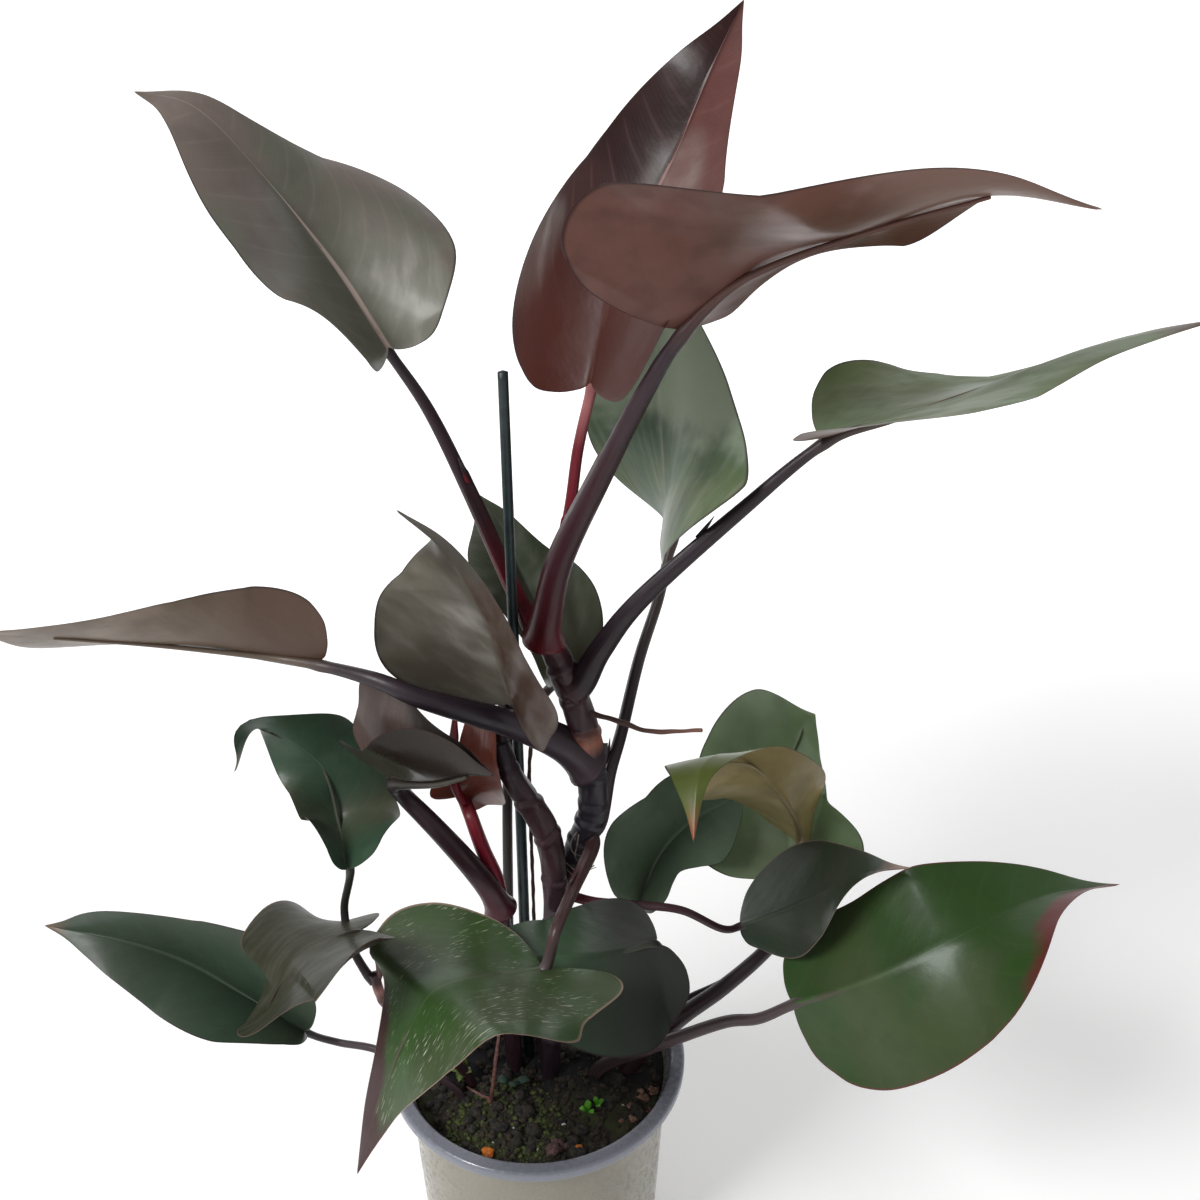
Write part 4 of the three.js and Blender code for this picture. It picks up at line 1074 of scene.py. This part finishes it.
spear_points = [[-35, 4, 322], [-40, 7, 334], [-40, 5, 349], [-38, 3, 365], [-36, 2, 387]]
spear = rod(spear_points, [2, 2.4, 2.6, 2.2, 0.3], sides=40, step=0.8, relief=rolled_edge)
add_piece("rolled_leaf", [spear], [spear_finish], "young_leaf", "rolled_leaf")
root_stops = [(0, (66, 48, 46)), (0.6, (84, 62, 56)), (1, (126, 90, 80))]
root_finish = stalk_finish("root skin", root_stops, 0.7, 0.05)


def knobbly(distance, angle):
    """Relief of a root: slow random-looking swellings from three sines."""
    slow = 0.10 * np.sin(distance / 3.1) + 0.05 * np.sin(2 * angle)
    return 1 + slow + 0.08 * np.sin(distance / 1.7 + angle)


air_root = rod([[26, 0, 384], [33, -4, 383], [46, -8, 381], [61, -12, 378], [86, -14, 380]],
               [1.6, 1.4, 1.3, 1.2, 0.9], sides=14, step=0.8, relief=knobbly)
add_piece("aerial_root", [air_root], [root_finish], "root", "aerial_root")
long_root = rod([[2, -8, 374], [1, 2, 360], [-1, 10, 330], [-1, 15, 249], [-2, 17, 160], [-2, 17, 112]],
                [1.2, 1.1, 1, 1, 1, 1], sides=14, step=1.2, relief=knobbly)
add_piece("hanging_root", [long_root], [root_finish], "root", "hanging_root")

# The seedlings and the stray shoot
# Small green seedlings have come up in the soil, and one thin brown shoot with a rootlet stands there.
# Fine root hairs and a dark knot grow from the main stem above them.


def flattened(distance, angle):
    """Relief that flattens a rod into a leaflet: the radius of an ellipse 0.14 as thick as it is wide."""
    return 1 / np.sqrt(np.cos(angle) ** 2 + (np.sin(angle) / 0.14) ** 2)


def leaflet(foot, way, size):
    """A pointed leaflet that grows from a foot the given way and arches over."""
    foot = np.array(foot, float)
    way = np.array(way, float) * size
    points = [foot, foot + 0.5 * way + [0, 0, 0.16 * size], foot + way]
    widths = size * np.array([0.05, 0.3, 0.36, 0.26, 0.02])
    return rod(points, widths, np.cross(way, [0, 0, 1]), 16, size / 16, flattened)


def seedling(foot, height, size, ways):
    """A short thin stalk with leaflets at its top."""
    foot = np.array(foot, float)
    top = foot + [0.3, 0, height]
    stalk = rod([foot, (foot + top) / 2 + [0.3, 0.2, 0], top], [0.45, 0.35, 0.3], sides=8, step=1)
    return [stalk] + [leaflet(top, way, size) for way in ways]


def small_growth(name, skins, colour_dark, colour_light, slot="stem"):
    """A piece of small growth in two shades."""
    add_piece(name, skins, [plain_finish(name, colour_dark, colour_light, 0.55, 300)], slot)


left_one = seedling([29, -36, 137], 4, 6, [(-0.8, -0.2, 0.5), (0.5, -0.6, 0.4), (0, 0.5, 0.9)])
right_one = seedling([34, -32, 137], 4, 5, [(0.8, 0.2, 0.6), (-0.3, 0.4, 0.9), (0.3, -0.7, 0.5)])
small_growth("seedling", left_one + right_one, (60, 128, 24), (104, 176, 44), "soil")
weed_ways = [(-0.8, -0.3, 0.4), (0.7, -0.4, 0.3), (0.2, 0.4, 0.9), (-0.2, -0.8, -0.2)]
small_growth("weed", seedling([-43, -14, 137], 11, 8, weed_ways), (72, 92, 34), (116, 132, 58), "soil")
dark_one = seedling([-14, -17, 137], 5, 11, [(-0.8, -0.3, 0.5), (0.9, -0.2, 0.4), (0.1, -0.7, 0.5)])
small_growth("dark_seedling", dark_one, (30, 50, 40), (48, 72, 58), "soil")
shoot = rod([[-27, -28, 134], [-24, -29, 152], [-22, -29, 170], [-19, -30, 194], [-17, -30, 215]],
            [1.4, 1.1, 1, 0.8, 0.6], sides=14, step=1.2, relief=knobbly)
rootlet = rod([[-40, -19, 141], [-34, -22, 139], [-26, -28, 141]],
              [0.5, 0.8, 0.9], sides=12, step=1, relief=knobbly)
small_growth("stray_shoot", [shoot, rootlet], (84, 52, 48), (124, 86, 78))
knot = rod([[14, -6, 286], [16, -7, 279], [16, -6, 268], [17, -4, 258]],
           [1.6, 2.8, 2.4, 1.4], sides=20, step=0.6, relief=knobbly)
hairs = [rod(points, radii, sides=8, step=1) for points, radii in (
    ([[24, -6, 312], [21, -8, 307], [22, -8, 300], [26, -7, 297]], [0.35, 0.3, 0.3, 0.25]),
    ([[25, -7, 311], [24, -9, 305], [23, -9, 299], [24, -7, 294]], [0.35, 0.3, 0.3, 0.25]),
    ([[16, -6, 290], [24, -10, 286], [33, -6, 290]], [0.3, 0.4, 0.3]),
    ([[17, -5, 292], [25, -9, 288], [34, -4, 287]], [0.3, 0.35, 0.2]),
)]
small_growth("knot", [knot], (34, 26, 28), (64, 48, 48))
small_growth("root_hairs", hairs, (60, 52, 48), (110, 96, 88))

# The studio
# A pale floor that turns up into a wall far behind, under a white sky.
# One wide soft lamp stands high on the left in front.
SWEEP_START = 5.0
SWEEP_RADIUS = 4.0
angle = np.linspace(0, np.pi / 2, 24)
sweep = np.concatenate([
    [(-6.0, 0.0), (0.0, 0.0)],
    np.stack([SWEEP_START + SWEEP_RADIUS * np.sin(angle), SWEEP_RADIUS * (1 - np.cos(angle))], -1),
    [(SWEEP_START + SWEEP_RADIUS, 9.0)],
])
sides = np.array([-9.0, 9.0])
floor_points = np.column_stack([np.tile(sides, len(sweep)), np.repeat(sweep, 2, axis=0)])
first = 2 * np.arange(len(sweep) - 1)
floor_faces = np.stack([first, first + 1, first + 3, first + 2], -1)
floor_mesh = bpy.data.meshes.new("floor")
floor_mesh.from_pydata(floor_points.tolist(), [], floor_faces.tolist())
floor_mesh.polygons.foreach_set("use_smooth", np.ones(len(first), bool))
floor_finish, tree, shader, places = new_finish("pale floor", 0.9)
shader.inputs["Base Color"].default_value = (0.9, 0.9, 0.9, 1)
shader.inputs["Emission Color"].default_value = (1, 1, 1, 1)
deep_value = add_node(tree, "ShaderNodeSeparateXYZ", {0: places}).outputs[1]
glow = calc(tree, "ADD", rising(tree, deep_value, 0.3, 1.4, 0.45), 0.2)
tree.links.new(glow, shader.inputs["Emission Strength"])
floor_mesh.materials.append(floor_finish)
floor = bpy.data.objects.new("floor", floor_mesh)
bpy.context.scene.collection.objects.link(floor)

world = bpy.data.worlds.new("sky")
world.use_nodes = True
world.node_tree.nodes["Background"].inputs[0].default_value = (1, 1, 1, 1)
world.node_tree.nodes["Background"].inputs[1].default_value = 0.45
bpy.context.scene.world = world


def add_lamp(name, place, target, size, power):
    """A square soft lamp at a place, turned to a target, in metres and watts."""
    lamp = bpy.data.lights.new(name, "AREA")
    lamp.size = size
    lamp.energy = power
    lamp_object = bpy.data.objects.new(name, lamp)
    lamp_object.location = place
    way = np.array(target) - place
    lamp_object.rotation_euler = (math.atan2(math.hypot(way[0], way[1]), -way[2]), 0,
                                  math.atan2(way[1], way[0]) - math.pi / 2)
    bpy.context.scene.collection.objects.link(lamp_object)


add_lamp("window", (-1.7, -1.5, 2.3), (0, 0, 0.35), 1.1, 75)

CAMERA_PLACE = (0.036, -0.548, 0.731)
CAMERA_PITCH_DOWN = 27.6
PHOTO_WIDTH = 1200
FOCAL_PIXELS = 1300
camera = bpy.data.cameras.new("camera")
camera.sensor_width = 36
camera.lens = 36 * FOCAL_PIXELS / PHOTO_WIDTH
camera.clip_start = 0.01
camera_object = bpy.data.objects.new("camera", camera)
camera_object.location = CAMERA_PLACE
camera_object.rotation_euler = (math.radians(90 - CAMERA_PITCH_DOWN), 0, 0)
bpy.context.scene.collection.objects.link(camera_object)
bpy.context.scene.camera = camera_object
bpy.context.scene.view_settings.view_transform = "Standard"
